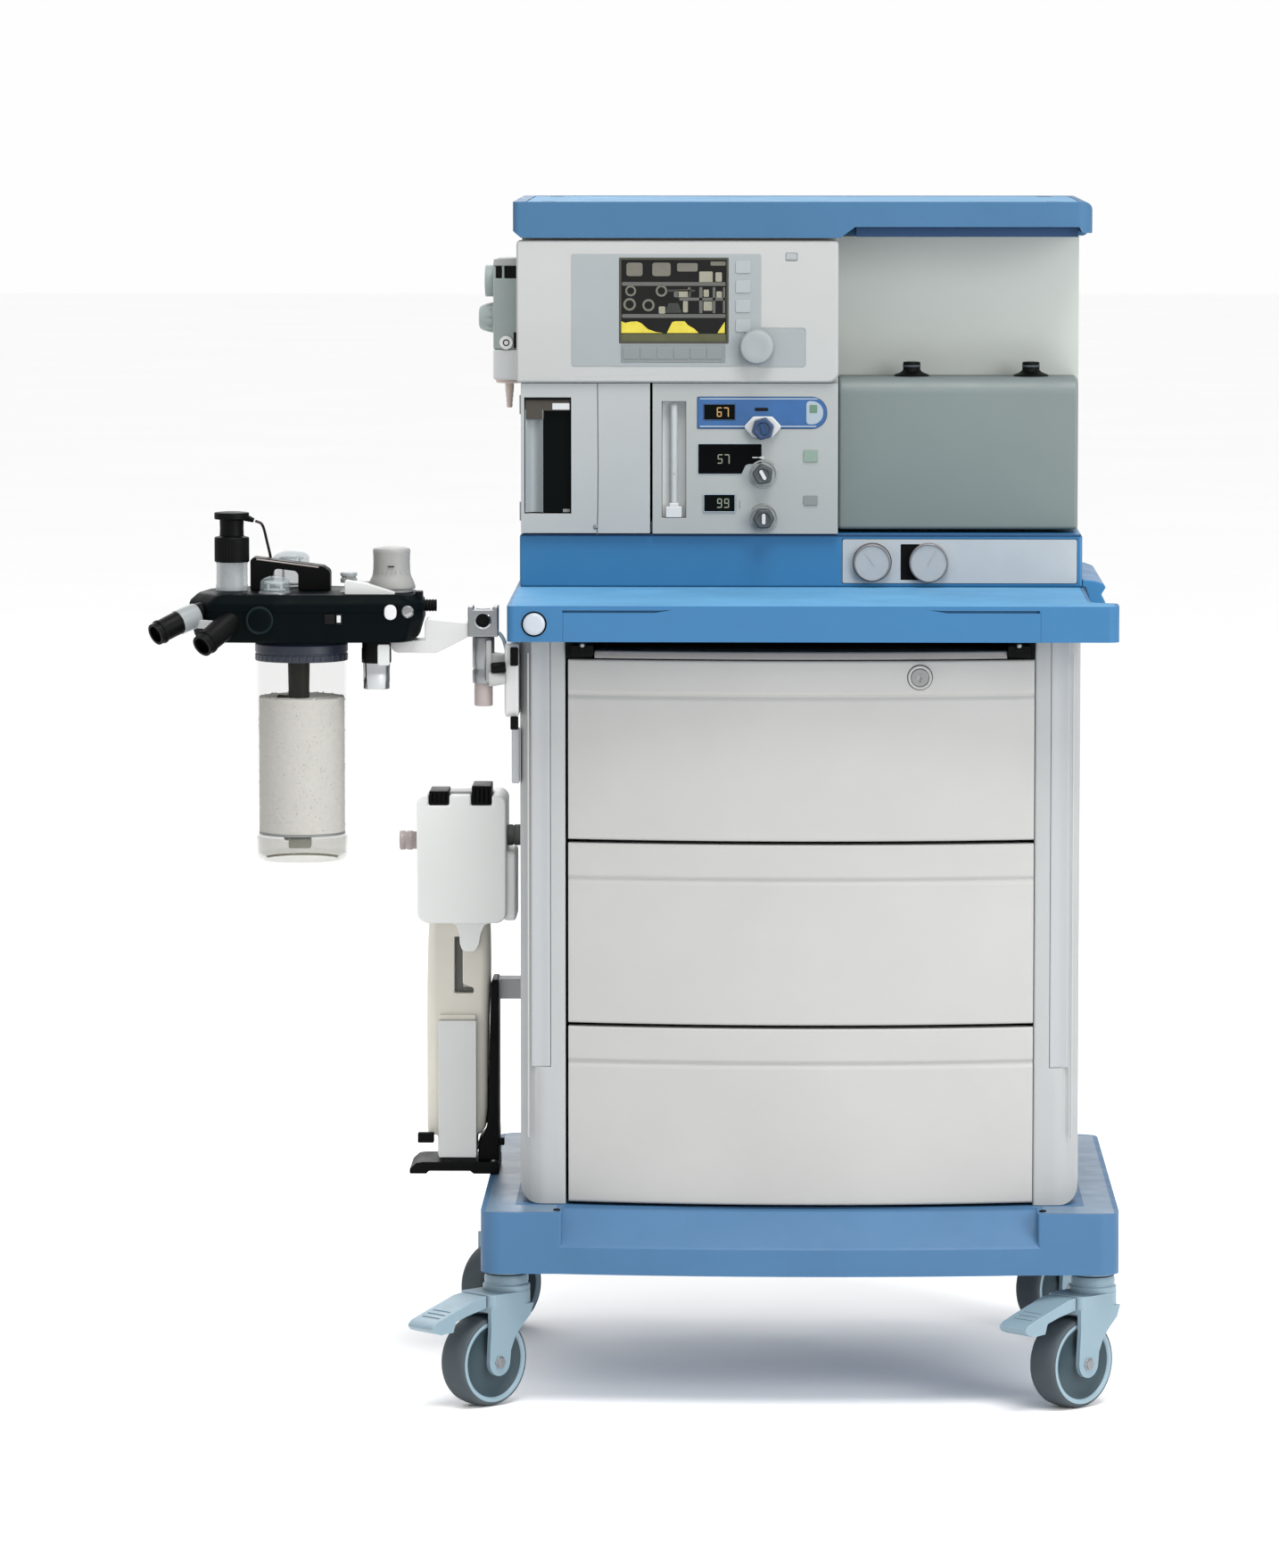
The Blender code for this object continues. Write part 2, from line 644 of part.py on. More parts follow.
def bay_panel():
    """The right head casing behind the vaporizer bay, open underneath on the riser."""
    wall = 0.010
    left = HEAD_SPLIT + 0.0005
    casing = block("bay_panel", (left, BAY_FRONT, RISER_TOP), (HEAD_RIGHT, HEAD_BACK, HEAD_TOP))
    carve(casing, block("hollow", (left + wall, BAY_FRONT + wall, RISER_TOP - 0.01),
                        (HEAD_RIGHT - wall, HEAD_BACK - wall, HEAD_TOP - wall)))
    return dress(casing, (0.43, 0.46, 0.45), 0.5)


def vaporizer_manifold():
    ledge = 1.1500
    body = block("vaporizer_manifold", (HEAD_SPLIT + 0.0005, -0.020, 0.9745),
                 (0.3205, BAY_FRONT - GAP, ledge), bevel=0.002,
                 segments=1)
    return dress(body, (0.23, 0.29, 0.28), 0.5)


def vaporizer_peg(name, x):
    foot = 1.1500 + GAP
    profile = [(0, foot), (0.0190, foot), (0.0185, foot + 0.0015), (0.0120, foot + 0.0040),
               (0.0100, foot + 0.0055),
               (0.0100, foot + 0.0150), (0.0085, foot + 0.0165), (0, foot + 0.0165)]
    peg = turned(name, profile, (x, 0.0200, 0), steps=20)
    return dress(peg, BLACK, 0.35, smooth=True)


def top_cap():
    """The blue cap and shelf, cut away underneath over the vaporizer bay."""
    left, right, front, back = -0.3310, 0.3345, -0.0620, 0.3300
    corners = [(left, front), (right, front), (right, back), (left, back)]
    cap = prism("top_cap", rounded(corners, [0.006, 0.016, 0.012, 0.012]), "Z", CAP_BOTTOM, CAP_TOP,
                bevel=0.003)
    step = 0.0125
    cut = [(0.0620 - step, CAP_BOTTOM - 0.0001), (0.3195 + step, CAP_BOTTOM - 0.0001),
           (0.3195, CAP_BOTTOM + step), (0.0620, CAP_BOTTOM + step)]
    carve(cap, prism("cut", cut, "Y", front - 0.01, BAY_FRONT - 0.005))
    return dress(cap, PAINT_BLUE, 0.35)


def aux_flow_unit():
    """The auxiliary flow unit on the head's left side, with its upper fitting and outlet nozzle."""
    right = HEAD_LEFT - 0.0005
    left = -0.3570
    middle_y = 0.065
    body = block("aux_flow_unit", (left, 0.030, 1.1447), (right, 0.100, 1.2855), bevel=0.003, segments=1)
    join(body, rod("fitting", (left + 0.002, middle_y, 1.2588), (-0.3685, middle_y, 1.2588), 0.0145,
                   steps=16))
    join(body, rod("nozzle", ((left + right) / 2, middle_y, 1.1467), ((left + right) / 2, middle_y, 1.1110),
                   0.0048,
                   steps=12, end_radius=0.0030))
    return dress(body, (0.40, 0.44, 0.44), 0.5, smooth=True)


def aux_flow_knob():
    centre = (-0.3574, 0.065, 1.2160)
    knob = turned("aux_flow_knob", [(0, -0.0180), (0.0090, -0.0170), (0.0145, -0.0120), (0.0175, -0.0050),
                                    (0.0178, 0.0),
                                    (0, 0.0)], centre, axis="X", steps=20)
    dress(knob, (0.45, 0.48, 0.48), 0.4, smooth=True)
    return pivot_at(knob, centre)


def gas_inlet_block():
    back = HEAD_BACK + GAP
    plate = block("gas_inlet_block", (0.100, back, 1.020), (0.260, back + 0.018, 1.075), bevel=0.002,
                  segments=1)
    for x in (0.130, 0.180, 0.230):
        join(plate, rod("inlet", (x, back + 0.010, 1.0475), (x, BACK_REACH, 1.0475), 0.0110, steps=16,
                        end_radius=0.0090))
    return dress(plate, (0.60, 0.52, 0.35), 0.3, 0.7, smooth=True)


def power_inlet():
    back = HEAD_BACK + GAP
    body = block("power_inlet", (-0.250, back, 1.000), (-0.200, back + 0.018, 1.036), bevel=0.002,
                 segments=1)
    carve(body, block("socket", (-0.239, back + 0.006, 1.009), (-0.211, back + 0.03, 1.027)))
    return dress(body, BLACK, 0.5)


# ---- scavenger --------------------------------------------------------------------------------
def scavenger_housing():
    """The white scavenger housing with its two caps, side ports and rounded spout."""
    low, high = 0.5175, 0.6673
    middle_y = 0.0
    housing = block("scavenger_housing", (SCAVENGER_LEFT, -0.050, low), (SCAVENGER_RIGHT, 0.050, high),
                    bevel=0.009)
    for x, radius, top in ((-0.4182, 0.0114, 0.6725), (-0.3688, 0.0109, 0.6788)):
        join(housing, rod("cap", (x, middle_y, high - 0.004), (x, middle_y, top), radius))
    join(housing, rod("left_port", (SCAVENGER_LEFT + 0.004, middle_y, 0.6100), (-0.4660, middle_y, 0.6100),
                      0.0115, steps=16))
    join(housing, rod("right_port", (SCAVENGER_RIGHT - 0.004, middle_y, 0.6165),
                      (-0.3240, middle_y, 0.6165), 0.0125, steps=16))
    return dress(housing, WHITE, 0.4, smooth=True)


def scavenger_chamber():
    left, right = -0.4338, -0.3600
    low, high = 0.2420, 0.5171
    chamber = block("scavenger_chamber", (left, -0.030, low), (right, 0.036, high), bevel=0.008, segments=2)
    join(chamber, block("front_panel", (-0.4200, -0.040, low), (-0.3755, -0.026, 0.4030), bevel=0.002,
                        segments=1))
    return dress(chamber, (0.62, 0.60, 0.52), 0.5)


def scavenger_stand():
    """A black foot on the base frame, a side strip and the arm that fixes it to the cabinet."""
    foot_top = 0.2378
    stand = block("scavenger_stand", (-0.4535, -0.045, BASE_TOP + 0.0007), (-0.3495, 0.045, foot_top))
    join(stand, block("strip", (-0.3585, -0.030, foot_top - 0.004), (-0.3495, 0.030, 0.4500)))
    join(stand, block("arm", (-0.3520, -0.020, 0.4260), (CABINET_LEFT - GAP, 0.020, 0.4495)))
    return dress(stand, BLACK, 0.5)


# ---- breathing system -------------------------------------------------------------------------
def pivot_bracket():
    """The fixed bracket on the cabinet's side and the vertical post that the arm turns on."""
    x, y = PIVOT
    profile = [(0, 0.7886), (0.0105, 0.7886), (0.0105, 0.8144), (0.0125, 0.8144), (0.0125, 0.8670),
               (0.0075, 0.8670), (0.0075, 0.8995), (0, 0.8995)]
    post = turned("pivot_bracket", profile, (x, y, 0), steps=20)
    join(post, block("lug", (x, y - 0.011, 0.8200), (-0.3360, y + 0.011, 0.8500)))
    join(post, block("plate", (-0.3380, y - 0.025, 0.7770), (CABINET_LEFT - GAP, y + 0.030, 0.8610),
                     bevel=0.002, segments=1))
    return dress(post, (0.70, 0.71, 0.72), 0.35, 0.4)


def breathing_arm():
    """The white arm with the metal block that turns on the post."""
    x, y = PIVOT
    side = [(-0.4625, 0.8495), (-0.4100, 0.8495), (-0.3740, 0.8680), (-0.3740, 0.8830), (-0.4235, 0.8880),
            (-0.4235, BLOCK_BOTTOM - GAP), (-0.4625, BLOCK_BOTTOM - GAP)]
    arm = prism("breathing_arm", side, "Y", y - 0.014, y + 0.030)
    join(arm, block("head", (x - 0.0170, y - 0.0170, 0.8676), (x + 0.0170, y + 0.0170, 0.9020), bevel=0.002,
                    segments=1))
    carve(arm, rod("bore", (x, y, 0.85), (x, y, 0.92), 0.0080))
    dress(arm, WHITE, 0.4)
    return pivot_at(arm, (x, y, 0.8675))


def breathing_block():
    """The dark manifold block with two hose ports, two valve domes and small bosses."""
    corners = [(-0.6900, -0.2650), (-0.6620, -0.3150), (-0.5900, -0.3250), (-0.4400, -0.3120),
               (-0.4245, -0.2800),
               (-0.4245, -0.2150), (-0.4450, -0.1850), (-0.5400, -0.1400), (-0.6200, -0.1400),
               (-0.6800, -0.2000)]
    body = prism("breathing_block", rounded(corners, 0.012, steps=3), "Z", BLOCK_BOTTOM, BLOCK_TOP,
                 bevel=0.004, segments=1)
    join(body, rod("port", (-0.6600, -0.2790, 0.8960), (-0.7225, -0.3270, 0.8745), 0.0130, steps=16,
                   end_radius=0.0115))
    join(body, rod("port", (-0.6250, -0.2900, 0.8930), (-0.6690, -0.3440, 0.8630), 0.0135, steps=16,
                   end_radius=0.0120))
    for x, y, radius, top in ((-0.5910, -0.2860, 0.0170, 0.9380), (-0.5800, -0.1690, 0.0210, 0.9600)):
        dome = [(0, BLOCK_TOP - 0.004), (radius, BLOCK_TOP - 0.004), (radius, top - 0.35 * radius),
                (radius * 0.72, top - 0.08 * radius), (0, top)]
        join(body, turned("dome", dome, (x, y, 0), steps=16))
    join(body, rod("apl_seat", (-0.4615, -0.2500, BLOCK_TOP - 0.004), (-0.4615, -0.2500, 0.9208), 0.0220,
                   steps=20))
    join(body, rod("test_port", (-0.5100, -0.2500, BLOCK_TOP - 0.004), (-0.5100, -0.2500, 0.9400), 0.0095,
                   steps=12))
    join(body, rod("socket", (-0.6010, -0.1960, BLOCK_TOP - 0.004), (-0.6010, -0.1960, 0.9260), 0.0045,
                   steps=12))
    join(body, rod("outlet", (-0.4300, -0.2450, 0.9020), (-0.4110, -0.2450, 0.9020), 0.0070, steps=12))
    return dress(body, (0.02, 0.045, 0.05), 0.4, smooth=True)


def block_handle():
    foot = BLOCK_TOP + GAP
    outline = [(-0.6222, foot), (-0.5970, foot), (-0.5970, 0.9430), (-0.5680, 0.9395), (-0.5680, foot),
               (-0.5320, foot), (-0.5320, 0.9400), (-0.5400, 0.9455), (-0.6185, 0.9555), (-0.6222, 0.9520)]
    handle = prism("block_handle", outline, "Y", -0.2370, -0.2050)
    return dress(handle, BLACK, 0.5)


def oxygen_sensor():
    """The sensor in its clear seat, with the gland that its cable leaves from."""
    foot = BLOCK_TOP + GAP
    x, y = -0.6430, -0.2350
    profile = [(0, foot), (0.0180, foot), (0.0180, 0.9500), (0.0197, 0.9505), (0.0197, 0.9785),
               (0.0170, 0.9798),
               (0.0137, 0.9800), (0.0137, 0.9978), (0.0197, 0.9985), (0.0197, 1.0060), (0.0175, 1.0072),
               (0, 1.0072)]
    sensor = turned("oxygen_sensor", profile, (x, y, 0), steps=20)
    join(sensor, rod("gland", (x + 0.0100, y, 1.0020), (x + 0.0255, y, 0.9970), 0.0036, steps=12,
                     end_radius=0.0028))
    return dress(sensor, BLACK, 0.35, smooth=True)


def smooth_route(points, samples):
    """Catmull-Rom points through a hand-chosen route."""
    ends = [2 * points[0] - points[1]] + points + [2 * points[-1] - points[-2]]
    route = []
    spans = len(points) - 1
    for k in range(samples + 1):
        place = min(k / samples * spans, spans - 1e-9)
        i = int(place)
        t = place - i
        a, b, c, d = ends[i:i + 4]
        route.append(0.5 * (2 * b + (c - a) * t + (2 * a - 5 * b + 4 * c - d) * t ** 2
                            + (3 * b - a - 3 * c + d) * t ** 3))
    return route


def sensor_cable():
    """The short lead from the sensor's gland to its socket on the block, behind the handle."""
    route = [Vector(p) for p in ((-0.6163, -0.2350, 0.9966), (-0.6085, -0.2320, 0.9915),
                                 (-0.6045, -0.2140, 0.9710),
                                 (-0.6015, -0.2000, 0.9520), (-0.6010, -0.1965, 0.9380),
                                 (-0.6010, -0.1960, 0.9264))]
    curve = bpy.data.curves.new("sensor_cable", "CURVE")
    curve.dimensions = "3D"
    curve.bevel_depth = 0.0016
    curve.bevel_resolution = 2
    curve.use_fill_caps = True
    points = smooth_route(route, 18)
    spline = curve.splines.new("POLY")
    spline.points.add(len(points) - 1)
    for knot, point in zip(spline.points, points):
        knot.co = (*point, 1.0)
    cable = bpy.data.objects.new("sensor_cable", curve)
    bpy.context.collection.objects.link(cable)
    look = bpy.data.materials.new("sensor_cable")
    look.use_nodes = True
    look.node_tree.nodes["Principled BSDF"].inputs["Base Color"].default_value = (0.03, 0.02, 0.02, 1.0)
    look.node_tree.nodes["Principled BSDF"].inputs["Roughness"].default_value = 0.5
    curve.materials.append(look)
    return cable


def apl_knob():
    x, y = -0.4615, -0.2500
    profile = [(0, 0.9212), (0.0266, 0.9212), (0.0268, 0.9240), (0.0240, 0.9330), (0.0212, 0.9380),
               (0.0205, 0.9500),
               (0.0213, 0.9640), (0.0195, 0.9672), (0.0080, 0.9690), (0, 0.9690)]
    knob = turned("apl_knob", profile, (x, y, 0))
    dress(knob, (0.60, 0.59, 0.58), 0.4, smooth=True)
    return pivot_at(knob, (x, y, 0.9212))


def bag_port():
    profile = [(0, 0.8109), (0.0150, 0.8109), (0.0155, 0.8400), (0.0167, 0.8420),
               (0.0167, BLOCK_BOTTOM - GAP),
               (0, BLOCK_BOTTOM - GAP)]
    port = turned("bag_port", profile, (-0.4771, -0.2850, 0), steps=20)
    return dress(port, STEEL, 0.2, 0.9, smooth=True)


def absorber_canister():
    x, y = CANISTER
    low = CANISTER_BOTTOM
    top = BLOCK_BOTTOM - GAP
    radius = CANISTER_RADIUS
    profile = [(0, low), (radius - 0.004, low), (radius, low + 0.004), (radius, 0.8380),
               (radius + 0.0012, 0.8400),
               (radius + 0.0012, top - 0.004), (radius - 0.003, top), (0, top)]
    canister = turned("absorber_canister", profile, (x, y, 0), steps=32)
    dress(canister, (0.72, 0.71, 0.66), 0.3, smooth=True)
    return pivot_at(canister, (x, y, low))


# ---- assembly ---------------------------------------------------------------------------------
def build_cart():
    base_frame()
    casters()
    side_panel("side_panel_left", CABINET_LEFT, 1)
    side_panel("side_panel_right", CABINET_RIGHT, -1)
    cabinet_back()
    for level in DRAWER_FLOORS:
        drawer(level)
    drawer_lock()
    tray_guide()
    writing_tray()
    worktop()
    flush_button()
    riser()
    gauge_panel()
    pressure_gauge("gauge_left", 0.0827, 0.0217)
    pressure_gauge("gauge_right", 0.1480, 0.0227)
    side_rail()


def build_head():
    head_shell()
    monitor_housing()
    monitor_screen()
    menu_knob()
    flow_panel()
    flow_tube()
    flow_knob("oxygen_knob", -0.0434, 1.0927, 0.0134, (0.05, 0.12, 0.26))
    flow_knob("air_knob", -0.0434, 1.0400, 0.0124, (0.10, 0.11, 0.11))
    flow_knob("nitrous_knob", -0.0424, 0.9893, 0.0124, (0.10, 0.11, 0.11))
    ventilator_door()
    door_window()
    ventilator_cylinder()
    bay_panel()
    vaporizer_manifold()
    vaporizer_peg("vaporizer_peg_left", 0.1287)
    vaporizer_peg("vaporizer_peg_right", 0.2668)
    top_cap()
    aux_flow_unit()
    aux_flow_knob()
    gas_inlet_block()
    power_inlet()


def build_breathing_system():
    pivot_bracket()
    breathing_arm()
    breathing_block()
    block_handle()
    oxygen_sensor()
    sensor_cable()
    apl_knob()
    bag_port()
    absorber_canister()


def build_scavenger():
    scavenger_housing()
    scavenger_chamber()
    scavenger_stand()


def carry_all():
    """Parent every piece to one empty that moves the cart to the machine's own origin."""
    machine = bpy.data.objects.new("machine", None)
    pieces = list(bpy.context.collection.objects)
    bpy.context.collection.objects.link(machine)
    machine.location = ((LEFT_REACH - RIGHT_REACH) / 2, (FRONT_REACH - BACK_REACH) / 2, 0)
    for piece in pieces:
        piece.parent = machine


clear_scene()
build_cart()
build_head()
build_breathing_system()
build_scavenger()
carry_all()
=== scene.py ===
"""The looks of the anesthesia machine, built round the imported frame.

Shapes are made in cart coordinates: x = 0 on the cabinet's middle line, -Y is the front, z = 0 is the
floor. `add` moves them into the frame.
"""
import random
from functools import partial
from math import cos, pi, radians, sin

import bmesh
import bpy
from mathutils import Matrix, Vector


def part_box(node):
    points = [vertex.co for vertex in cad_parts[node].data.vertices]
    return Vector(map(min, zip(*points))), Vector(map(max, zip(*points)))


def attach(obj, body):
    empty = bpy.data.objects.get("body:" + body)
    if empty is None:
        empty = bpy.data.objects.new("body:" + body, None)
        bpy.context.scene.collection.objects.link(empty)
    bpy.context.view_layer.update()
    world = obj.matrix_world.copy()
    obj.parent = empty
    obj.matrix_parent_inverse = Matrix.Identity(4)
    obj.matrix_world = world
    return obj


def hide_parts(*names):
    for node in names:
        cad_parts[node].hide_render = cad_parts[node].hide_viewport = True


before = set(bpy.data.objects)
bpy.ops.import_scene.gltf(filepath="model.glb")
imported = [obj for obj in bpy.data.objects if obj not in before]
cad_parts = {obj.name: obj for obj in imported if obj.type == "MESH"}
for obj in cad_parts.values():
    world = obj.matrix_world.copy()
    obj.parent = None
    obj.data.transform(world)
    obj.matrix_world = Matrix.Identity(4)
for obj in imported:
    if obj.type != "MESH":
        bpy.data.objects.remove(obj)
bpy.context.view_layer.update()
HALF_CABINET = 0.317       # from the middle line to the left side panel's outside
CAP_FRONT = -0.062         # the top cap's front edge
ORIGIN = Vector((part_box("side_panel_left")[0].x + HALF_CABINET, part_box("top_cap")[0].y - CAP_FRONT, 0.0))
SHIFT = Matrix.Translation(ORIGIN)
MATERIALS = {}
CASTER_X, CASTER_FRONT, CASTER_BACK = 0.332, -0.285, 0.245
PANEL_FACE = -0.055        # the front of the flow panel
PIVOT_X, PIVOT_Y = -0.358, -0.25
LOCK_X, LOCK_Z = 0.134, 0.8246
FLUSH_X, FLUSH_Z = -0.2975, 0.889


def mm(text):
    """Points written in millimetres, "x y, x y", as tuples in metres."""
    return [tuple(float(number) / 1000 for number in point.split()) for point in text.split(",")]


# ---- camera and cable -------------------------------------------------------------------------
def make_camera():
    data = bpy.data.cameras.new("camera")
    data.sensor_fit = "VERTICAL"
    data.sensor_height = 36.0
    data.lens = 173.95
    data.clip_end = 200.0
    camera = bpy.data.objects.new("camera", data)
    camera.location = ORIGIN + Vector((-0.0187, -8.7759, 1.5194))
    camera.rotation_euler = (radians(90 - 5.488), 0.0, radians(1.096))
    bpy.context.scene.collection.objects.link(camera)
    bpy.context.scene.camera = camera


CABLE_RADIUS = 0.0016
CABLE_POINTS = [Vector(point) for point in mm("-616.3 -235 996.6, -608.5 -232 991.5, -604.5 -214 971, "
    "-601.5 -200 952, -601 -196.5 938, -601 -196 926.4")]


def smooth_route(points, samples):
    """Catmull-Rom samples through the points."""
    ends = [points[0] * 2 - points[1]] + points + [points[-1] * 2 - points[-2]]
    spans = len(points) - 1
    route = []
    for k in range(samples + 1):
        place = spans * k / samples
        span = min(int(place), spans - 1)
        t = place - span
        a, b, c, d = ends[span:span + 4]
        route.append(((b * 2) + (c - a) * t + (a * 2 - b * 5 + c * 4 - d) * t * t
            + (b * 3 - a - c * 3 + d) * t * t * t) * 0.5)
    return route


# ---- materials --------------------------------------------------------------------------------
STUDIO_GAIN = 0.54     # the light adds this much back


def srgb(red, green, blue):
    """The linear colour that looks like this display colour under the studio light."""
    return tuple(STUDIO_GAIN * ((channel / 255 + 0.055) / 1.055) ** 2.4 for channel in (red, green, blue))


def scaled(colour, factor):
    return tuple(min(1.0, channel * factor) for channel in colour)


class Graph:
    """A short way to wire one material's nodes."""

    def __init__(self, material):
        self.nodes = material.node_tree.nodes
        self.links = material.node_tree.links
        self.place = self.nodes.new("ShaderNodeTexCoord").outputs["Object"]

    def node(self, kind, **values):
        made = self.nodes.new(kind)
        for key, value in values.items():
            setattr(made, key, value)
        return made

    def noise(self, scale, detail=4.0, stretch=None, roughness=0.55):
        made = self.node("ShaderNodeTexNoise")
        made.inputs["Scale"].default_value = scale
        made.inputs["Detail"].default_value = detail
        made.inputs["Roughness"].default_value = roughness
        source = self.place
        if stretch:
            mapping = self.node("ShaderNodeMapping")
            mapping.inputs["Scale"].default_value = stretch
            self.links.new(source, mapping.inputs["Vector"])
            source = mapping.outputs["Vector"]
        self.links.new(source, made.inputs["Vector"])
        return made.outputs["Fac"]

    def remap(self, source, low, high, out_low, out_high):
        made = self.node("ShaderNodeMapRange", clamp=True)
        for name, value in (("From Min", low), ("From Max", high), ("To Min", out_low), ("To Max", out_high)):
            made.inputs[name].default_value = value
        self.links.new(source, made.inputs["Value"])
        return made.outputs["Result"]

    def mix(self, factor, first, second):
        made = self.node("ShaderNodeMix", data_type="RGBA")
        self.links.new(factor, made.inputs[0])
        for socket, value in ((made.inputs[6], first), (made.inputs[7], second)):
            if isinstance(value, tuple):
                socket.default_value = (*value, 1.0)
            else:
                self.links.new(value, socket)
        return made.outputs[2]

    def multiply(self, first, second):
        made = self.node("ShaderNodeMath", operation="MULTIPLY")
        self.links.new(first, made.inputs[0])
        self.links.new(second, made.inputs[1])
        return made.outputs[0]

    def edges(self, radius):
        """1 on edges rounder than the radius, 0 on flats."""
        bevel = self.node("ShaderNodeBevel", samples=3)
        bevel.inputs["Radius"].default_value = radius
        geometry = self.node("ShaderNodeNewGeometry")
        dot = self.node("ShaderNodeVectorMath", operation="DOT_PRODUCT")
        self.links.new(bevel.outputs["Normal"], dot.inputs[0])
        self.links.new(geometry.outputs["Normal"], dot.inputs[1])
        return self.remap(dot.outputs["Value"], 0.995, 0.9, 0.0, 1.0)

    def bump(self, source, strength, distance, after=None):
        made = self.node("ShaderNodeBump")
        made.inputs["Strength"].default_value = strength
        made.inputs["Distance"].default_value = distance
        self.links.new(source, made.inputs["Height"])
        if after:
            self.links.new(after, made.inputs["Normal"])
        return made.outputs["Normal"]


def surface(name, colour, rough=0.42, metallic=0.0, spread=0.05, mottle=6.0, grain=1300.0, relief=0.1,
        wave=0.03, wear=0.25, wear_colour=None, coat=0.0, clear=0.0, glow=0.0, stretch=None, ior=1.48,
        gloss=0.35):
    """A finish with slow colour drift, handling marks in its gloss, a fine grain and lighter worn edges."""
    material = bpy.data.materials.new(name)
    material.use_nodes = True
    graph = Graph(material)
    shader = material.node_tree.nodes["Principled BSDF"]
    drift = graph.remap(graph.noise(mottle, 5.0, stretch), 0.32, 0.68, 0.0, 1.0)
    tone = graph.mix(drift, scaled(colour, 1 - spread), scaled(colour, 1 + spread))
    speck = graph.remap(graph.noise(grain * 0.35, 2.0, stretch), 0.6, 0.78, 0.0, 0.35)
    tone = graph.mix(speck, tone, scaled(colour, 1 - 2.2 * spread))
    marks = graph.noise(22.0, 6.0, stretch, 0.65)
    if wear:
        worn = graph.multiply(graph.edges(0.0016), graph.remap(marks, 0.38, 0.62, wear * 0.25, wear))
        tone = graph.mix(worn, tone, wear_colour or scaled(colour, 1.9))
    graph.links.new(tone, shader.inputs["Base Color"])
    graph.links.new(graph.remap(marks, 0.3, 0.7, rough * 0.82, min(1.0, rough * 1.2)),
        shader.inputs["Roughness"])
    normal = graph.bump(graph.noise(75.0, 2.0, stretch), wave, 0.004)
    normal = graph.bump(graph.noise(grain, 3.0, stretch), relief, 0.0004, normal)
    graph.links.new(normal, shader.inputs["Normal"])
    shader.inputs["Metallic"].default_value = metallic
    shader.inputs["Coat Weight"].default_value = coat
    shader.inputs["Coat Roughness"].default_value = 0.12
    shader.inputs["Alpha"].default_value = 1.0 - clear
    shader.inputs["IOR"].default_value = ior
    shader.inputs["Specular IOR Level"].default_value = gloss
    if glow:
        graph.links.new(tone, shader.inputs["Emission Color"])
        shader.inputs["Emission Strength"].default_value = glow
    MATERIALS[name] = material


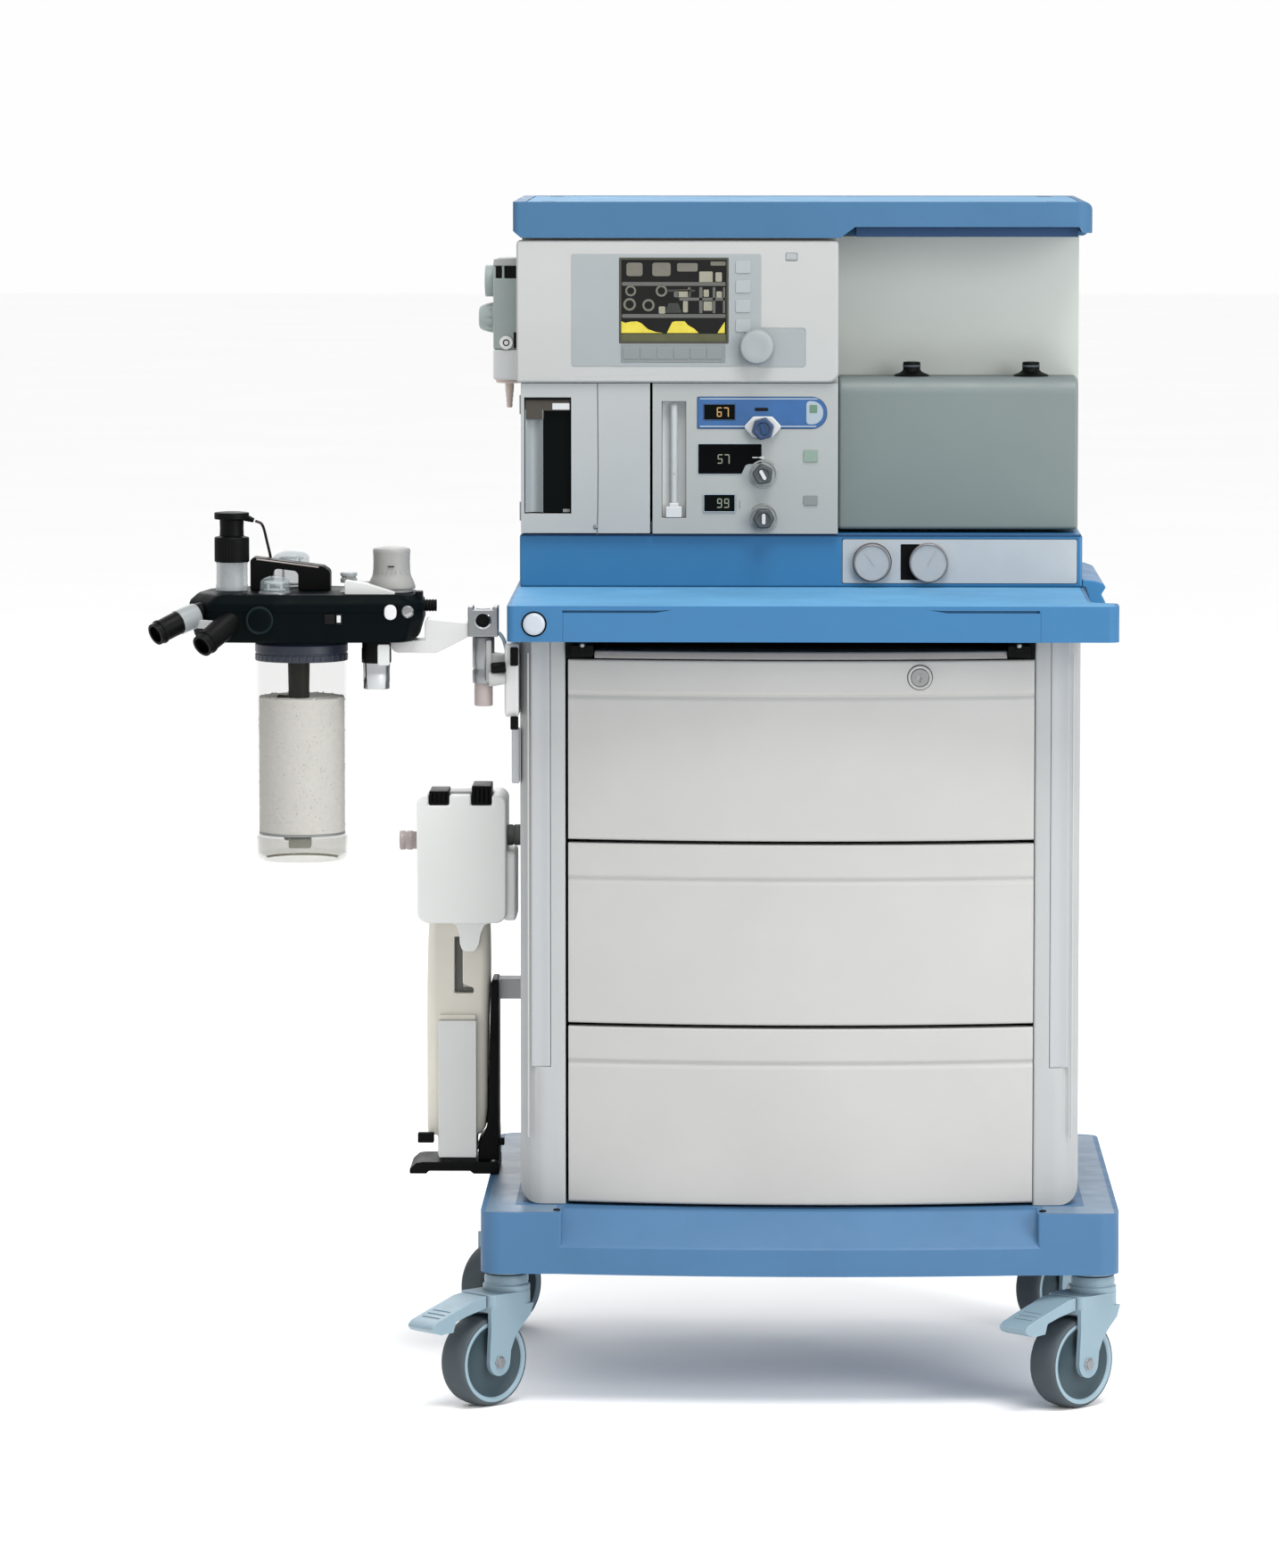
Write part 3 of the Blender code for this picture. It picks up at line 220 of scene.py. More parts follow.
# Name, display colour, roughness, and what differs from surface's defaults.
FINISHES = """
worktop_blue 66/124/172 0.5 wear=0.25 spread=0.05 gloss=0.15
paint_blue 54/126/178 0.4 coat=0.1 wear=0.25 spread=0.05 gloss=0.25
base_blue 76/122/164 0.46 wear=0.3 spread=0.06 gloss=0.25
navy 44/78/118 0.5 wear=0.1 gloss=0.2
case_grey 196/198/196 0.45 wear=0.1 spread=0.025
drawer_grey 198/198/196 0.46 wear=0.1 spread=0.03
column_grey 190/193/194 0.5 wear=0.14 spread=0.03
bezel_grey 168/175/177 0.4 wear=0.1 spread=0.03
door_grey 189/193/193 0.42 wear=0.12 spread=0.03
flow_grey 182/186/184 0.42 wear=0.12 spread=0.035
bay_grey 214/220/215 0.55 wear=0.06 spread=0.02 gloss=0.2
slate 128/140/138 0.5 wear=0.1 spread=0.04
white 232/233/232 0.36 wear=0 spread=0.02 coat=0.1
pink_grey 190/178/176 0.42 wear=0.1 spread=0.04
black 7/8/9 0.46 wear=0.1 wear_colour=34/36/38 spread=0.12 gloss=0.08
black_matt 8/8/9 0.62 wear=0.08 wear_colour=50/52/54 spread=0.12 gloss=0.15
block_dark 4/13/15 0.5 wear=0.06 wear_colour=24/36/40 spread=0.12 gloss=0.03
teal 14/44/50 0.4 wear=0.2 spread=0.08 gloss=0.2
rubber 84/94/100 0.66 wear=0.15 spread=0.1 mottle=18 relief=0.3 gloss=0.2
wheel_face 66/84/92 0.46 wear=0.2 spread=0.08 gloss=0.2
wheel_ring 160/186/200 0.36 wear=0.15 spread=0.05
cast_grey 152/178/192 0.4 metallic=0.1 wear=0.35 spread=0.06 relief=0.22
steel 186/188/188 0.24 metallic=1 wear=0 spread=0.06 relief=0.05 wave=0
brushed 170/173/175 0.34 metallic=0.9 wear=0.3 spread=0.08 relief=0.12 wave=0
chrome 214/217/219 0.1 metallic=1 wear=0 spread=0.03 relief=0 wave=0
clear_plastic 236/242/242 0.07 clear=0.82 wear=0 spread=0.02 relief=0 wave=0.02
frosted 214/222/224 0.28 clear=0.45 wear=0 spread=0.03
smoked 4/12/11 0.3 wear=0 spread=0.2 relief=0 wave=0.02 gloss=0.05
granules 216/214/208 0.8 wear=0 spread=0.05 mottle=260 relief=0.3 gloss=0.1
cable_jacket 48/37/33 0.48 wear=0 spread=0.1 relief=0.1
screen_glass 13/15/12 0.16 wear=0 spread=0.25 mottle=30 relief=0 wave=0 coat=0.15 gloss=0.2
badge_blue 38/66/104 0.34 wear=0.15 spread=0.08 coat=0.2
badge_rim 176/190/200 0.3 wear=0.1 spread=0.04
badge_black 4/5/6 0.6 wear=0.05 wear_colour=30/32/34 spread=0.1 gloss=0.04
tag_green 106/142/120 0.5 wear=0 spread=0.06
tag_grey 146/150/148 0.5 wear=0 spread=0.06
gauge_white 192/199/204 0.38 wear=0.1 spread=0.05 mottle=14
dial_white 186/193/202 0.34 wear=0 spread=0.04 coat=0.2
oxygen_badge 48/100/158 0.34 wear=0.1 spread=0.1 mottle=30 coat=0.2
knob_grey 74/80/82 0.42 wear=0.25 spread=0.08
key_white 226/228/228 0.36 wear=0 spread=0.03
tube_white 224/227/227 0.3 wear=0 spread=0.03
flow_back 240/242/240 0.45 wear=0 spread=0.02
soft_key 140/146/147 0.4 wear=0.08 spread=0.04
cap_blue 74/118/156 0.5 wear=0.3 spread=0.07 mottle=4 gloss=0.15
aux_grey 178/191/188 0.45 wear=0.15 spread=0.06
apl_grey 162/162/160 0.42 wear=0.12 spread=0.05
collar_dark 36/44/60 0.36 wear=0.25 wear_colour=90/100/118 spread=0.12
dome_clear 176/192/198 0.06 clear=0.66 wear=0 spread=0.02 relief=0 wave=0
canister_clear 120/120/108 0.05 clear=0.95 wear=0 spread=0.02 relief=0 wave=0.01 gloss=0.15
ui_rule 96/97/93 0.4 wear=0 spread=0.08 glow=0.25
ui_olive_frame 70/70/58 0.4 wear=0 spread=0.1
ui_amber 206/160/96 0.4 wear=0 spread=0.06 glow=0.5
ui_yellow_paint 196/176/60 0.45 wear=0.1 spread=0.05
deck_blue 110/140/168 0.36 wear=0.15 spread=0.05 mottle=5 gloss=0.45
seam_brown 104/92/88 0.6 wear=0 spread=0.08
aux_pale 246/249/249 0.45 wear=0.1 spread=0.03
nozzle_pink 238/220/212 0.42 wear=0.1 spread=0.04
band_dark 72/66/58 0.6 wear=0 spread=0.08
teal_dark 9/28/32 0.5 wear=0.1 spread=0.08 gloss=0.1
tag_sage 146/168/154 0.45 wear=0 spread=0.04
tube_dark 5/8/8 0.5 wear=0 spread=0.2 gloss=0.08
clear_edge 176/174/152 0.12 clear=0.8 wear=0 spread=0.03 relief=0 wave=0.01 gloss=0.2
key_pale 176/183/186 0.38 wear=0 spread=0.03
slot_grey 128/130/126 0.5 wear=0 spread=0.05
inlay_blue 108/172/218 0.6 wear=0 spread=0.12 mottle=7 gloss=0.1
cap_top_blue 120/170/208 0.6 wear=0 spread=0.06 mottle=9 gloss=0.12
ring_bronze 150/146/148 0.4 metallic=0.4 wear=0 spread=0.15
tray_grey 148/146/146 0.36 wear=0.1 spread=0.05 metallic=0.3
button_white 196/205/216 0.34 wear=0 spread=0.03 coat=0.2
"""


def make_materials():
    def value(text):
        return srgb(*map(int, text.split("/"))) if "/" in text else float(text)

    for row in FINISHES.strip().splitlines():
        name, colour, rough, *rest = row.split()
        options = (pair.split("=") for pair in rest)
        surface(name, value(colour), value(rough), **{key: value(text) for key, text in options})
    surface("strip_grey", srgb(190, 194, 197), 0.38, wear=0.1, spread=0.03, stretch=(1.0, 1.0, 0.12))
    surface("beige", (0.54, 0.52, 0.46), 0.5, wear=0.08, spread=0.035, mottle=11.0)
    for name, colour, glow in (("ui_grey", (112, 110, 100), 0.22), ("ui_yellow", (206, 190, 64), 0.5),
            ("ui_olive", (84, 86, 56), 0.3), ("ui_white", (150, 148, 132), 0.25),
            ("ui_green", (150, 160, 140), 0.3), ("ui_dark", (52, 56, 52), 0.15)):
        surface(name, srgb(*colour), 0.35, wear=0.0, spread=0.08, mottle=80.0, glow=glow)
    surface("panel_grey", (0.52, 0.525, 0.52), 0.42, wear=0.08, spread=0.015)
    surface("housing_white", (0.62, 0.63, 0.62), 0.4, wear=0.0, spread=0.012, coat=0.1)


# ---- shapes -----------------------------------------------------------------------------------
def box(low, high):
    """A plain block; add bevels it unless its bevel is 0."""
    shape = bmesh.new()
    bmesh.ops.create_cube(shape, size=1.0)
    size = [b - a for a, b in zip(low, high)]
    middle = [(a + b) / 2 for a, b in zip(low, high)]
    shape.transform(Matrix.Translation(middle) @ Matrix.Diagonal((*size, 1.0)))
    return shape


def block(text):
    return box(*mm(text))


def rounded(corners, radius, steps=6):
    """Corner points replaced by arcs; radius is one number or one for each corner."""
    radii = radius if isinstance(radius, (list, tuple)) else [radius] * len(corners)
    points = []
    for k, (corner, r) in enumerate(zip(corners, radii)):
        here = Vector(corner)
        before = (Vector(corners[k - 1]) - here).normalized()
        after = (Vector(corners[(k + 1) % len(corners)]) - here).normalized()
        if r <= 0:
            points.append(tuple(here))
            continue
        half = before.angle(after) / 2
        reach = r / abs(sin(half) / cos(half))
        centre = here + (before + after).normalized() * (r / sin(half))
        start = here + before * reach - centre
        stop = here + after * reach - centre
        turn = start.angle_signed(stop)
        for step in range(steps + 1):
            angle = -turn * step / steps
            spun = Vector((start.x * cos(angle) - start.y * sin(angle), start.x * sin(angle)
                + start.y * cos(angle)))
            points.append(tuple(centre + spun))
    return points


def plate(left, right, low, high, radius=0.0, steps=6):
    return rounded([(left, low), (right, low), (right, high), (left, high)], radius, steps)


def slab(left, right, low, high, start, stop, radius=0.0, steps=6):
    """A plate facing the front, from start to stop in depth."""
    return prism(plate(left, right, low, high, radius, steps), "Y", start, stop)


def prism(outline, axis, start, stop):
    shape = bmesh.new()
    place = {"X": lambda a, b: (start, a, b), "Y": lambda a, b: (a, start, b), "Z": lambda a,
        b: (a, b, start)}
    face = shape.faces.new([shape.verts.new(place[axis](a, b)) for a, b in outline])
    lifted = bmesh.ops.extrude_face_region(shape, geom=[face])["geom"]
    step = Vector([stop - start if letter == axis else 0.0 for letter in "XYZ"])
    bmesh.ops.translate(shape, vec=step, verts=[v for v in lifted if isinstance(v, bmesh.types.BMVert)])
    bmesh.ops.recalc_face_normals(shape, faces=shape.faces)
    return shape


def turned(profile, centre, axis="Z", steps=56, hollow=False):
    """Spin (radius, height) pairs about an axis through centre; a hollow profile closes on itself."""
    shape = bmesh.new()
    rows = []
    for radius, height in profile:
        if radius < 1e-7:
            rows.append([shape.verts.new((0, 0, height))])
        else:
            rows.append([shape.verts.new((radius * cos(2 * pi * k / steps), radius * sin(2 * pi * k / steps),
                height)) for k in range(steps)])
    pairs = list(zip(rows, rows[1:])) + ([(rows[-1], rows[0])] if hollow else [])
    for first, second in pairs:
        for k in range(steps):
            after = (k + 1) % steps
            corners = [first[k % len(first)], first[after % len(first)], second[after % len(second)],
                second[k % len(second)]]
            corners = [v for n, v in enumerate(corners) if v not in corners[:n]]
            if len(corners) > 2:
                shape.faces.new(corners)
    if not hollow:
        for row in (rows[0], rows[-1]):
            if len(row) > 1:
                shape.faces.new(row)
    turn = {"X": Matrix.Rotation(pi / 2, 4, "Y"), "Y": Matrix.Rotation(-pi / 2, 4, "X"), "Z": Matrix()}[axis]
    shape.transform(Matrix.Translation(centre) @ turn)
    bmesh.ops.recalc_face_normals(shape, faces=shape.faces)
    return shape


def rod(start, stop, radius, end_radius=None, steps=40):
    """A round bar between two points."""
    start, stop = Vector(start), Vector(stop)
    along = stop - start
    shape = turned([(0, 0), (radius, 0), (radius if end_radius is None else end_radius, along.length),
        (0, along.length)], (0, 0, 0), steps=steps)
    shape.transform(Matrix.Translation(start) @ along.to_track_quat("Z", "Y").to_matrix().to_4x4())
    return shape


def rod_ring(centre, reach, count, low, high, radius, steps=8, axis="Z", turn=0.0):
    """Thin bars round an axis, in one mesh, to cut ribs or to stand as posts."""
    bars = []
    for k in range(count):
        a = reach * cos(turn + 2 * pi * k / count)
        b = reach * sin(turn + 2 * pi * k / count)
        if axis == "X":
            ends = [(at, centre[0] + a, centre[1] + b) for at in (low, high)]
        elif axis == "Y":
            ends = [(centre[0] + a, at, centre[1] + b) for at in (low, high)]
        else:
            ends = [(centre[0] + a, centre[1] + b, at) for at in (low, high)]
        bars.append(rod(*ends, radius, steps=steps))
    return joined(*bars)


def tube(points, radius, steps=14):
    """A round bar swept along points."""
    shape = bmesh.new()
    points = [Vector(p) for p in points]
    rows = []
    side = None
    for k, point in enumerate(points):
        along = (points[min(k + 1, len(points) - 1)] - points[max(k - 1, 0)]).normalized()
        side = (along.orthogonal() if side is None else side - along * side.dot(along)).normalized()
        up = along.cross(side)
        r = radius[k] if isinstance(radius, (list, tuple)) else radius
        rows.append([shape.verts.new(point + side * (r * cos(2 * pi * n / steps))
            + up * (r * sin(2 * pi * n / steps))) for n in range(steps)])
    for first, second in zip(rows, rows[1:]):
        for n in range(steps):
            after = (n + 1) % steps
            shape.faces.new((first[n], first[after], second[after], second[n]))
    shape.faces.new(rows[0])
    shape.faces.new(rows[-1])
    bmesh.ops.recalc_face_normals(shape, faces=shape.faces)
    return shape


def lofted(rings):
    shape = bmesh.new()
    rows = [[shape.verts.new(point) for point in ring] for ring in rings]
    shape.faces.new(rows[0])
    shape.faces.new(rows[-1])
    for low, high in zip(rows, rows[1:]):
        for k in range(len(low)):
            after = (k + 1) % len(low)
            shape.faces.new((low[k], low[after], high[after], high[k]))
    bmesh.ops.recalc_face_normals(shape, faces=shape.faces)
    return shape


def joined(*shapes):
    """Several shapes as one mesh, without merging them."""
    whole = bmesh.new()
    for shape in shapes:
        mesh = bpy.data.meshes.new("part")
        shape.to_mesh(mesh)
        whole.from_mesh(mesh)
        bpy.data.meshes.remove(mesh)
    return whole


def moved(shape, matrix):
    shape.transform(matrix)
    return shape


def loose_object(shape):
    mesh = bpy.data.meshes.new("tool")
    shape.to_mesh(mesh)
    made = bpy.data.objects.new("tool", mesh)
    bpy.context.scene.collection.objects.link(made)
    return made


def boolean(shape, *tools, operation="DIFFERENCE"):
    for tool in tools:
        target, cutter = loose_object(shape), loose_object(tool)
        modifier = target.modifiers.new("cut", "BOOLEAN")
        modifier.operation = operation
        modifier.solver = "EXACT"
        modifier.object = cutter
        bpy.context.view_layer.update()
        mesh = bpy.data.meshes.new_from_object(target.evaluated_get(bpy.context.evaluated_depsgraph_get()))
        shape = bmesh.new()
        shape.from_mesh(mesh)
        for made in (target, cutter):
            spent = made.data
            bpy.data.objects.remove(made)
            bpy.data.meshes.remove(spent)
        bpy.data.meshes.remove(mesh)
    return shape


def skin(node):
    """The CAD node's own shape, welded and without its triangles, in cart coordinates."""
    shape = bmesh.new()
    shape.from_mesh(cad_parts[node].data)
    bmesh.ops.remove_doubles(shape, verts=shape.verts, dist=1e-6)
    bmesh.ops.dissolve_limit(shape, angle_limit=0.01, verts=shape.verts, edges=shape.edges)
    shape.transform(SHIFT.inverted())
    return shape


def add(body, node, name, shape, material, bevel=0.0012, segments=3, angle=32, stands=False):
    """Make a piece on a body; one that stands for its CAD node hides that node."""
    shape.transform(SHIFT)
    for face in shape.faces:
        face.smooth = True
    if not bevel:
        for edge in shape.edges:
            if len(edge.link_faces) == 2 and edge.calc_face_angle(0.0) > radians(angle):
                edge.smooth = False
    mesh = bpy.data.meshes.new(name)
    shape.to_mesh(mesh)
    shape.free()
    piece = bpy.data.objects.new(name, mesh)
    bpy.context.scene.collection.objects.link(piece)
    mesh.materials.append(MATERIALS[material])
    if bevel:
        rounding = piece.modifiers.new("rounding", "BEVEL")
        rounding.width = bevel
        rounding.segments = segments
        rounding.limit_method = "ANGLE"
        rounding.angle_limit = radians(angle)
        rounding.use_clamp_overlap = True
        weighted = piece.modifiers.new("normals", "WEIGHTED_NORMAL")
        weighted.keep_sharp = True
        weighted.weight = 60
    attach(piece, body)
    if stands:
        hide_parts(node)


# ---- small hardware ---------------------------------------------------------------------------
def screw(name, centre, radius, body, node, axis="Y", sign=-1, material="brushed", cross=True):
    """A domed screw head with its recess, standing out of a face along sign * axis."""
    height = radius * 0.55
    head = turned([(0, 0), (radius, 0), (radius, height * 0.35), (radius * 0.78, height * 0.8),
        (radius * 0.35, height), (0, height)], (0, 0, 0), steps=28)
    reach = radius * 0.62
    slim = radius * 0.14
    tools = [box((-reach, -slim, height * 0.45), (reach, slim, height * 2))]
    if cross:
        tools.append(box((-slim, -reach, height * 0.45), (slim, reach, height * 2)))
    head = boolean(head, *tools)
    aim = {"X": (sign, 0, 0), "Y": (0, sign, 0), "Z": (0, 0, sign)}[axis]
    head.transform(Matrix.Translation(centre) @ Vector(aim).to_track_quat("Z", "Y").to_matrix().to_4x4()
        @ Matrix.Rotation(radians(32), 4, "Z"))
    add(body, node, name, head, material, 0)


# ---- base and casters -------------------------------------------------------------------------
def bowed_ring(half, middle, ends, back, height, steps=44):
    front = [-1 + 2 * k / steps for k in range(steps + 1)]
    ring = [(half * across, middle + (ends - middle) * across ** 2, height) for across in front]
    return ring + [(half, back, height), (-half, back, height)]


def make_base():
    put = partial(add, "cart", "base_frame")
    half, front, back, nose = 0.36, -0.335, 0.305, 0.268
    notch = -0.286
    corners = [(-half, front), (-nose, front), (-nose, notch), (nose, notch), (nose, front), (half, front),
        (half, back), (-half, back)]
    outline = rounded(corners, [0.024, 0.003, 0.0, 0.0, 0.003, 0.024, 0.022, 0.022], 8)
    slab = prism(outline, "Z", 0.1535, 0.223)
    lap = -0.004
    rings = [bowed_ring(nose - lap, middle, ends, notch + 0.004, height) for middle, ends,
        height in mm("-352 -335 153.5, -352 -335 184, -350 -332.5 186.8, -310.5 -294 220.5, -306 -289 222.2")]
    put("base_casting", boolean(slab, lofted(rings), operation="UNION"), "base_blue", 0.0042, 4, angle=24,
        stands=True)
    # Thin lighter-blue sheets on the base's top beside the cabinet: painted light, the top shown brighter as
    # if lit from above.
    for side, sign in (("left", -1), ("right", 1)):
        deck = rounded([(sign * 0.2745, -0.329), (sign * 0.354, -0.329), (sign * 0.354, 0.298),
            (sign * 0.322, 0.298), (sign * 0.322, -0.278), (sign * 0.2745, -0.278)][::sign], 0.004, 6)
        put("base_deck_" + side, prism(deck, "Z", 0.2228, 0.2232), "deck_blue", 0)
    for x in (-CASTER_X, CASTER_X):
        for y in (CASTER_FRONT, CASTER_BACK):
            boss = turned(mm("0 147.8, 23.5 147.8, 24.5 149.2, 24.5 156, 0 156"), (x, y, 0))
            put(f"caster_boss_{x:+.1f}_{y:+.1f}".replace("+", "p").replace("-", "m"), boss, "cast_grey", 0)
    for x in (-0.274, 0.274):
        screw(f"base_screw_{'l' if x < 0 else 'r'}", (x, -0.316, 0.2229), 0.0042, "cart", "base_frame", "Z",
            1, "black")


def leg_outline():
    points = mm("-17 114, -12 101, 0 90.5, 11 79, 18 64")
    for k in range(13):
        angle = pi + pi * k / 12
        points.append((0.035 + 0.0155 * cos(angle), 0.0515 + 0.0155 * sin(angle)))
    return points + mm("49.5 70, 48 90, 48 114")


def make_caster(name, x, y, braked):
    at = Matrix.Translation((x, y, 0)) @ Matrix.Rotation(radians(225), 4, "Z")
    body, wheel = "caster_" + name, "wheel_" + name
    put_fork = partial(add, body, "fork_" + name)
    put_wheel = partial(add, wheel, wheel)
    side = 0.027
    crown = prism(plate(-0.026, 0.048, -side, side, [0.0255, 0.008, 0.008, 0.0255], 12), "Z", 0.1085, 0.1285)
    legs = [prism(leg_outline(), "Y", low, high) for low, high in ((0.0213, side), (-side, -0.0213))]
    fork = boolean(crown, *legs, operation="UNION")
    put_fork("fork_casting_" + name, moved(fork, at), "cast_grey", 0.0021, angle=40, stands=True)
    collar = turned(mm("0 127.5, 26.2 127.5, 26.8 129.2, 26.8 134.5, 25.8 135.8, 24.6 136, 24.3 137.8, "
        "25 138.6, 25 144, 24 146.4, 0 146.6"), (0, 0, 0))
    put_fork("fork_collar_" + name, moved(collar, at), "cast_grey", 0)
    for sign in (1, -1):
        nut = turned(mm("0 0, 7.8 0, 7.8 1.2, 6.2 1.4, 6 3.4, 0 3.8"), (0, 0, 0), steps=6 if sign > 0 else 32)
        nut.transform(at @ Matrix.Translation((0.035, sign * (side - 0.0001), 0.0515))
            @ Matrix.Rotation(radians(-90 * sign), 4, "X"))
        put_fork(f"axle_end_{name}_{'a' if sign > 0 else 'b'}", nut, "brushed", 0.0004)
    hub = (0.035, 0, 0.0515)
    tyre = mm("44 17.8, 46.8 18.8, 48.8 17.8, 50.3 14.6, 51.1 10, 51.5 4.5")
    tyre += [(r, -h) for r, h in reversed(tyre)]
    put_wheel("tyre_" + name, moved(turned(tyre, hub, "Y", 96, hollow=True), at), "rubber", 0, angle=50,
        stands=True)
    ring = mm("40.5 16, 41.8 18.4, 44.5 19.2, 46.2 18.8, 46.6 16")
    ring += [(r, -h) for r, h in reversed(ring)]
    put_wheel("wheel_ring_" + name, moved(turned(ring, hub, "Y", 96, hollow=True), at), "wheel_ring", 0,
        angle=50)
    dish = mm("5.6 20, 12 20, 13.2 17, 16.5 14.6, 27 13.2, 36 14, 40 16.4, 41 16.8")
    dish += [(r, -h) for r, h in reversed(dish)]
    put_wheel("wheel_disc_" + name, moved(turned(dish, hub, "Y", 96, hollow=True), at), "wheel_face", 0,
        angle=50)
    if braked:
        profile = mm("50 127.5, 62 126.2, 80 120.5, 104 113, 127 105.2, 131.8 101, 131.8 98.2, 128 94.5, "
            "118 91.2, 100 92.2, 96 103.5, 78 108.5, 60 112, 50 114")
        pedal = prism(profile, "Y", -0.0203, 0.0203)
        cuts = []
        for k in range(3):
            reach = 0.1 + 0.008 * k
            surface_z = 0.113 - (reach - 0.104) * 0.34
            cuts.append(box((reach - 0.0014, -0.0145, surface_z - 0.001),
                (reach + 0.0014, 0.0145, surface_z + 0.01)))
        pedal = boolean(pedal, *cuts)
        add("pedal_" + name, "brake_pedal_" + name, "brake_pad_" + name, moved(pedal, at), "cast_grey",
            0.0022, angle=40, stands=True)


# ---- cabinet ----------------------------------------------------------------------------------
def make_columns():
    for side, sign in (("left", -1), ("right", 1)):
        node = "side_panel_" + side
        put = partial(add, "cart", node)
        low, high = sorted((sign * 0.2817, sign * 0.3045))
        groove = box((low, -0.29, 0.38), (high, -0.2672, 0.88))
        reach = 0.317 if sign < 0 else 0.316
        heel = [(sign * (reach + 0.002), 0.222)]
        heel += [(sign * (reach - 0.021 + 0.021 * cos(radians(a))), 0.2444 - 0.021 * sin(radians(a)))
            for a in range(0, 91, 9)]
        heel += [(sign * (reach - 0.021), 0.222)]
        cuts = joined(groove, prism(heel, "Y", -0.3, 0.3))
        put("side_case_" + side, boolean(skin(node), cuts), "column_grey", 0.0014, stands=True)
        inset = 0.0006
        rail = prism([(low + inset, -0.2671), (high - inset, -0.2671), (high - inset, -0.269),
            (high - 0.004, -0.2696), (high - 0.0075, -0.2682), (low + 0.0075, -0.2682),
            (low + 0.004, -0.2696), (low + inset, -0.269)], "Z", 0.3806, 0.864)
        put("column_strip_" + side, rail, "strip_grey", 0.0005, 2)
        bead_x = sign * 0.3072
        bead = tube([(bead_x, -0.2705, 0.3 + 0.055 * k) for k in range(11)], 0.0011, 10)
        put("column_bead_" + side, bead, "case_grey", 0, angle=80)
        for n, z in enumerate((0.262, 0.56, 0.835)):
            screw(f"side_screw_{side}_{n}", (sign * 0.317 if sign < 0 else 0.316, 0.22, z), 0.0042, "cart",
                node, "X", sign)
    add("cart", "cabinet_back", "back_cover", skin("cabinet_back"), "column_grey", stands=True)
    low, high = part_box("cabinet_back")
    low, high = low - ORIGIN, high - ORIGIN
    panel = slab(low.x + 0.05, high.x - 0.05, low.z + 0.06, high.z - 0.06, high.y - 0.001, high.y + 0.0022,
        0.012)
    slots = [slab(-0.15, 0.15, 0.7 + 0.016 * k, 0.706 + 0.016 * k, high.y + 0.0006, high.y + 0.01, 0.0028, 4)
        for k in range(6)]
    add("cart", "cabinet_back", "back_service_panel", boolean(panel, *slots), "case_grey", 0.0008)
    for n, (x, z) in enumerate(mm("-220 330, 220 330, -220 760, 220 760")):
        screw(f"back_screw_{n}", (x, high.y + 0.002, z), 0.0045, "cart", "cabinet_back", "Y", 1)


def bow(x, depth=0.026, half=0.2635):
    return -0.27 - depth * (1 - (x / half) ** 2)


def drawer_front(left, right, rows, back, steps=40):
    """Bowed rings stacked from the bottom to the top; each row is (height, inset)."""
    rings = []
    for height, inset in rows:
        line = []
        for k in range(steps + 1):
            x = left + (right - left) * k / steps
            line.append((x, bow(x) + inset, height))
        rings.append(line + [(right, back, height), (left, back, height)])
    return lofted(rings)


def make_drawer(level, floor, height):
    body = "drawer_" + level
    put = partial(add, body, body)
    left, right, back = -0.262, 0.2635, -0.2522
    top = floor + height
    rows = [(floor, 0.0022), (floor + 0.001, 0.0008), (floor + 0.0028, 0.0), (top - 0.047, 0.0),
        (top - 0.044, 0.0004), (top - 0.0415, 0.0022), (top - 0.0395, 0.0024), (top - 0.0375, 0.0002),
        (top - 0.035, -0.0002), (top - 0.0028, 0.0), (top - 0.001, 0.0008), (top, 0.0022)]
    front = drawer_front(left, right, rows, back)
    if level == "top":
        front = boolean(front, rod((LOCK_X, -0.262, LOCK_Z), (LOCK_X, -0.32, LOCK_Z), 0.0142))
    put("front_" + body, front, "drawer_grey", 0.0007, 2, angle=48, stands=True)
    middle = (left + right) / 2
    half, low, high, rear = 0.2556, floor + 0.0082, floor + 0.1778, 0.1998
    tub = box((middle - half, back - 0.002, low), (middle + half, rear, high))
    tub = boolean(tub, box((middle - half + 0.006, back + 0.0065, low + 0.006),
        (middle + half - 0.006, rear - 0.006, high + 0.02)))
    put("tub_" + body, tub, "case_grey", 0.0011, 2)
    mat = prism(plate(middle - half + 0.009, middle + half - 0.009, back + 0.011, rear - 0.009, 0.006, 4),
        "Z", low + 0.0061, low + 0.0076)
    put("liner_" + body, mat, "tag_grey", 0.0004, 2)


def make_lock():
    x, z = LOCK_X, LOCK_Z
    face = turned(mm("0 0, 9.4 0, 10 0.4, 10 17.5, 0 17.5"), (x, -0.2916, z), "Y")
    face = boolean(face, box((x - 0.001, -0.3, z - 0.0052), (x + 0.001, -0.288, z + 0.0052)),
        rod((x, -0.3, z), (x, -0.29, z), 0.0026))
    add("lock", "drawer_lock", "lock_plug", face, "steel", 0.0003, 2, stands=True)
    rim = turned(mm("10.2 0.8, 10.8 -0.4, 12.4 -0.8, 13.5 0, 13.6 12, 10.2 12"), (x, -0.2916, z), "Y",
        hollow=True)
    add("drawer_top", "drawer_lock", "lock_rim", rim, "case_grey", 0)


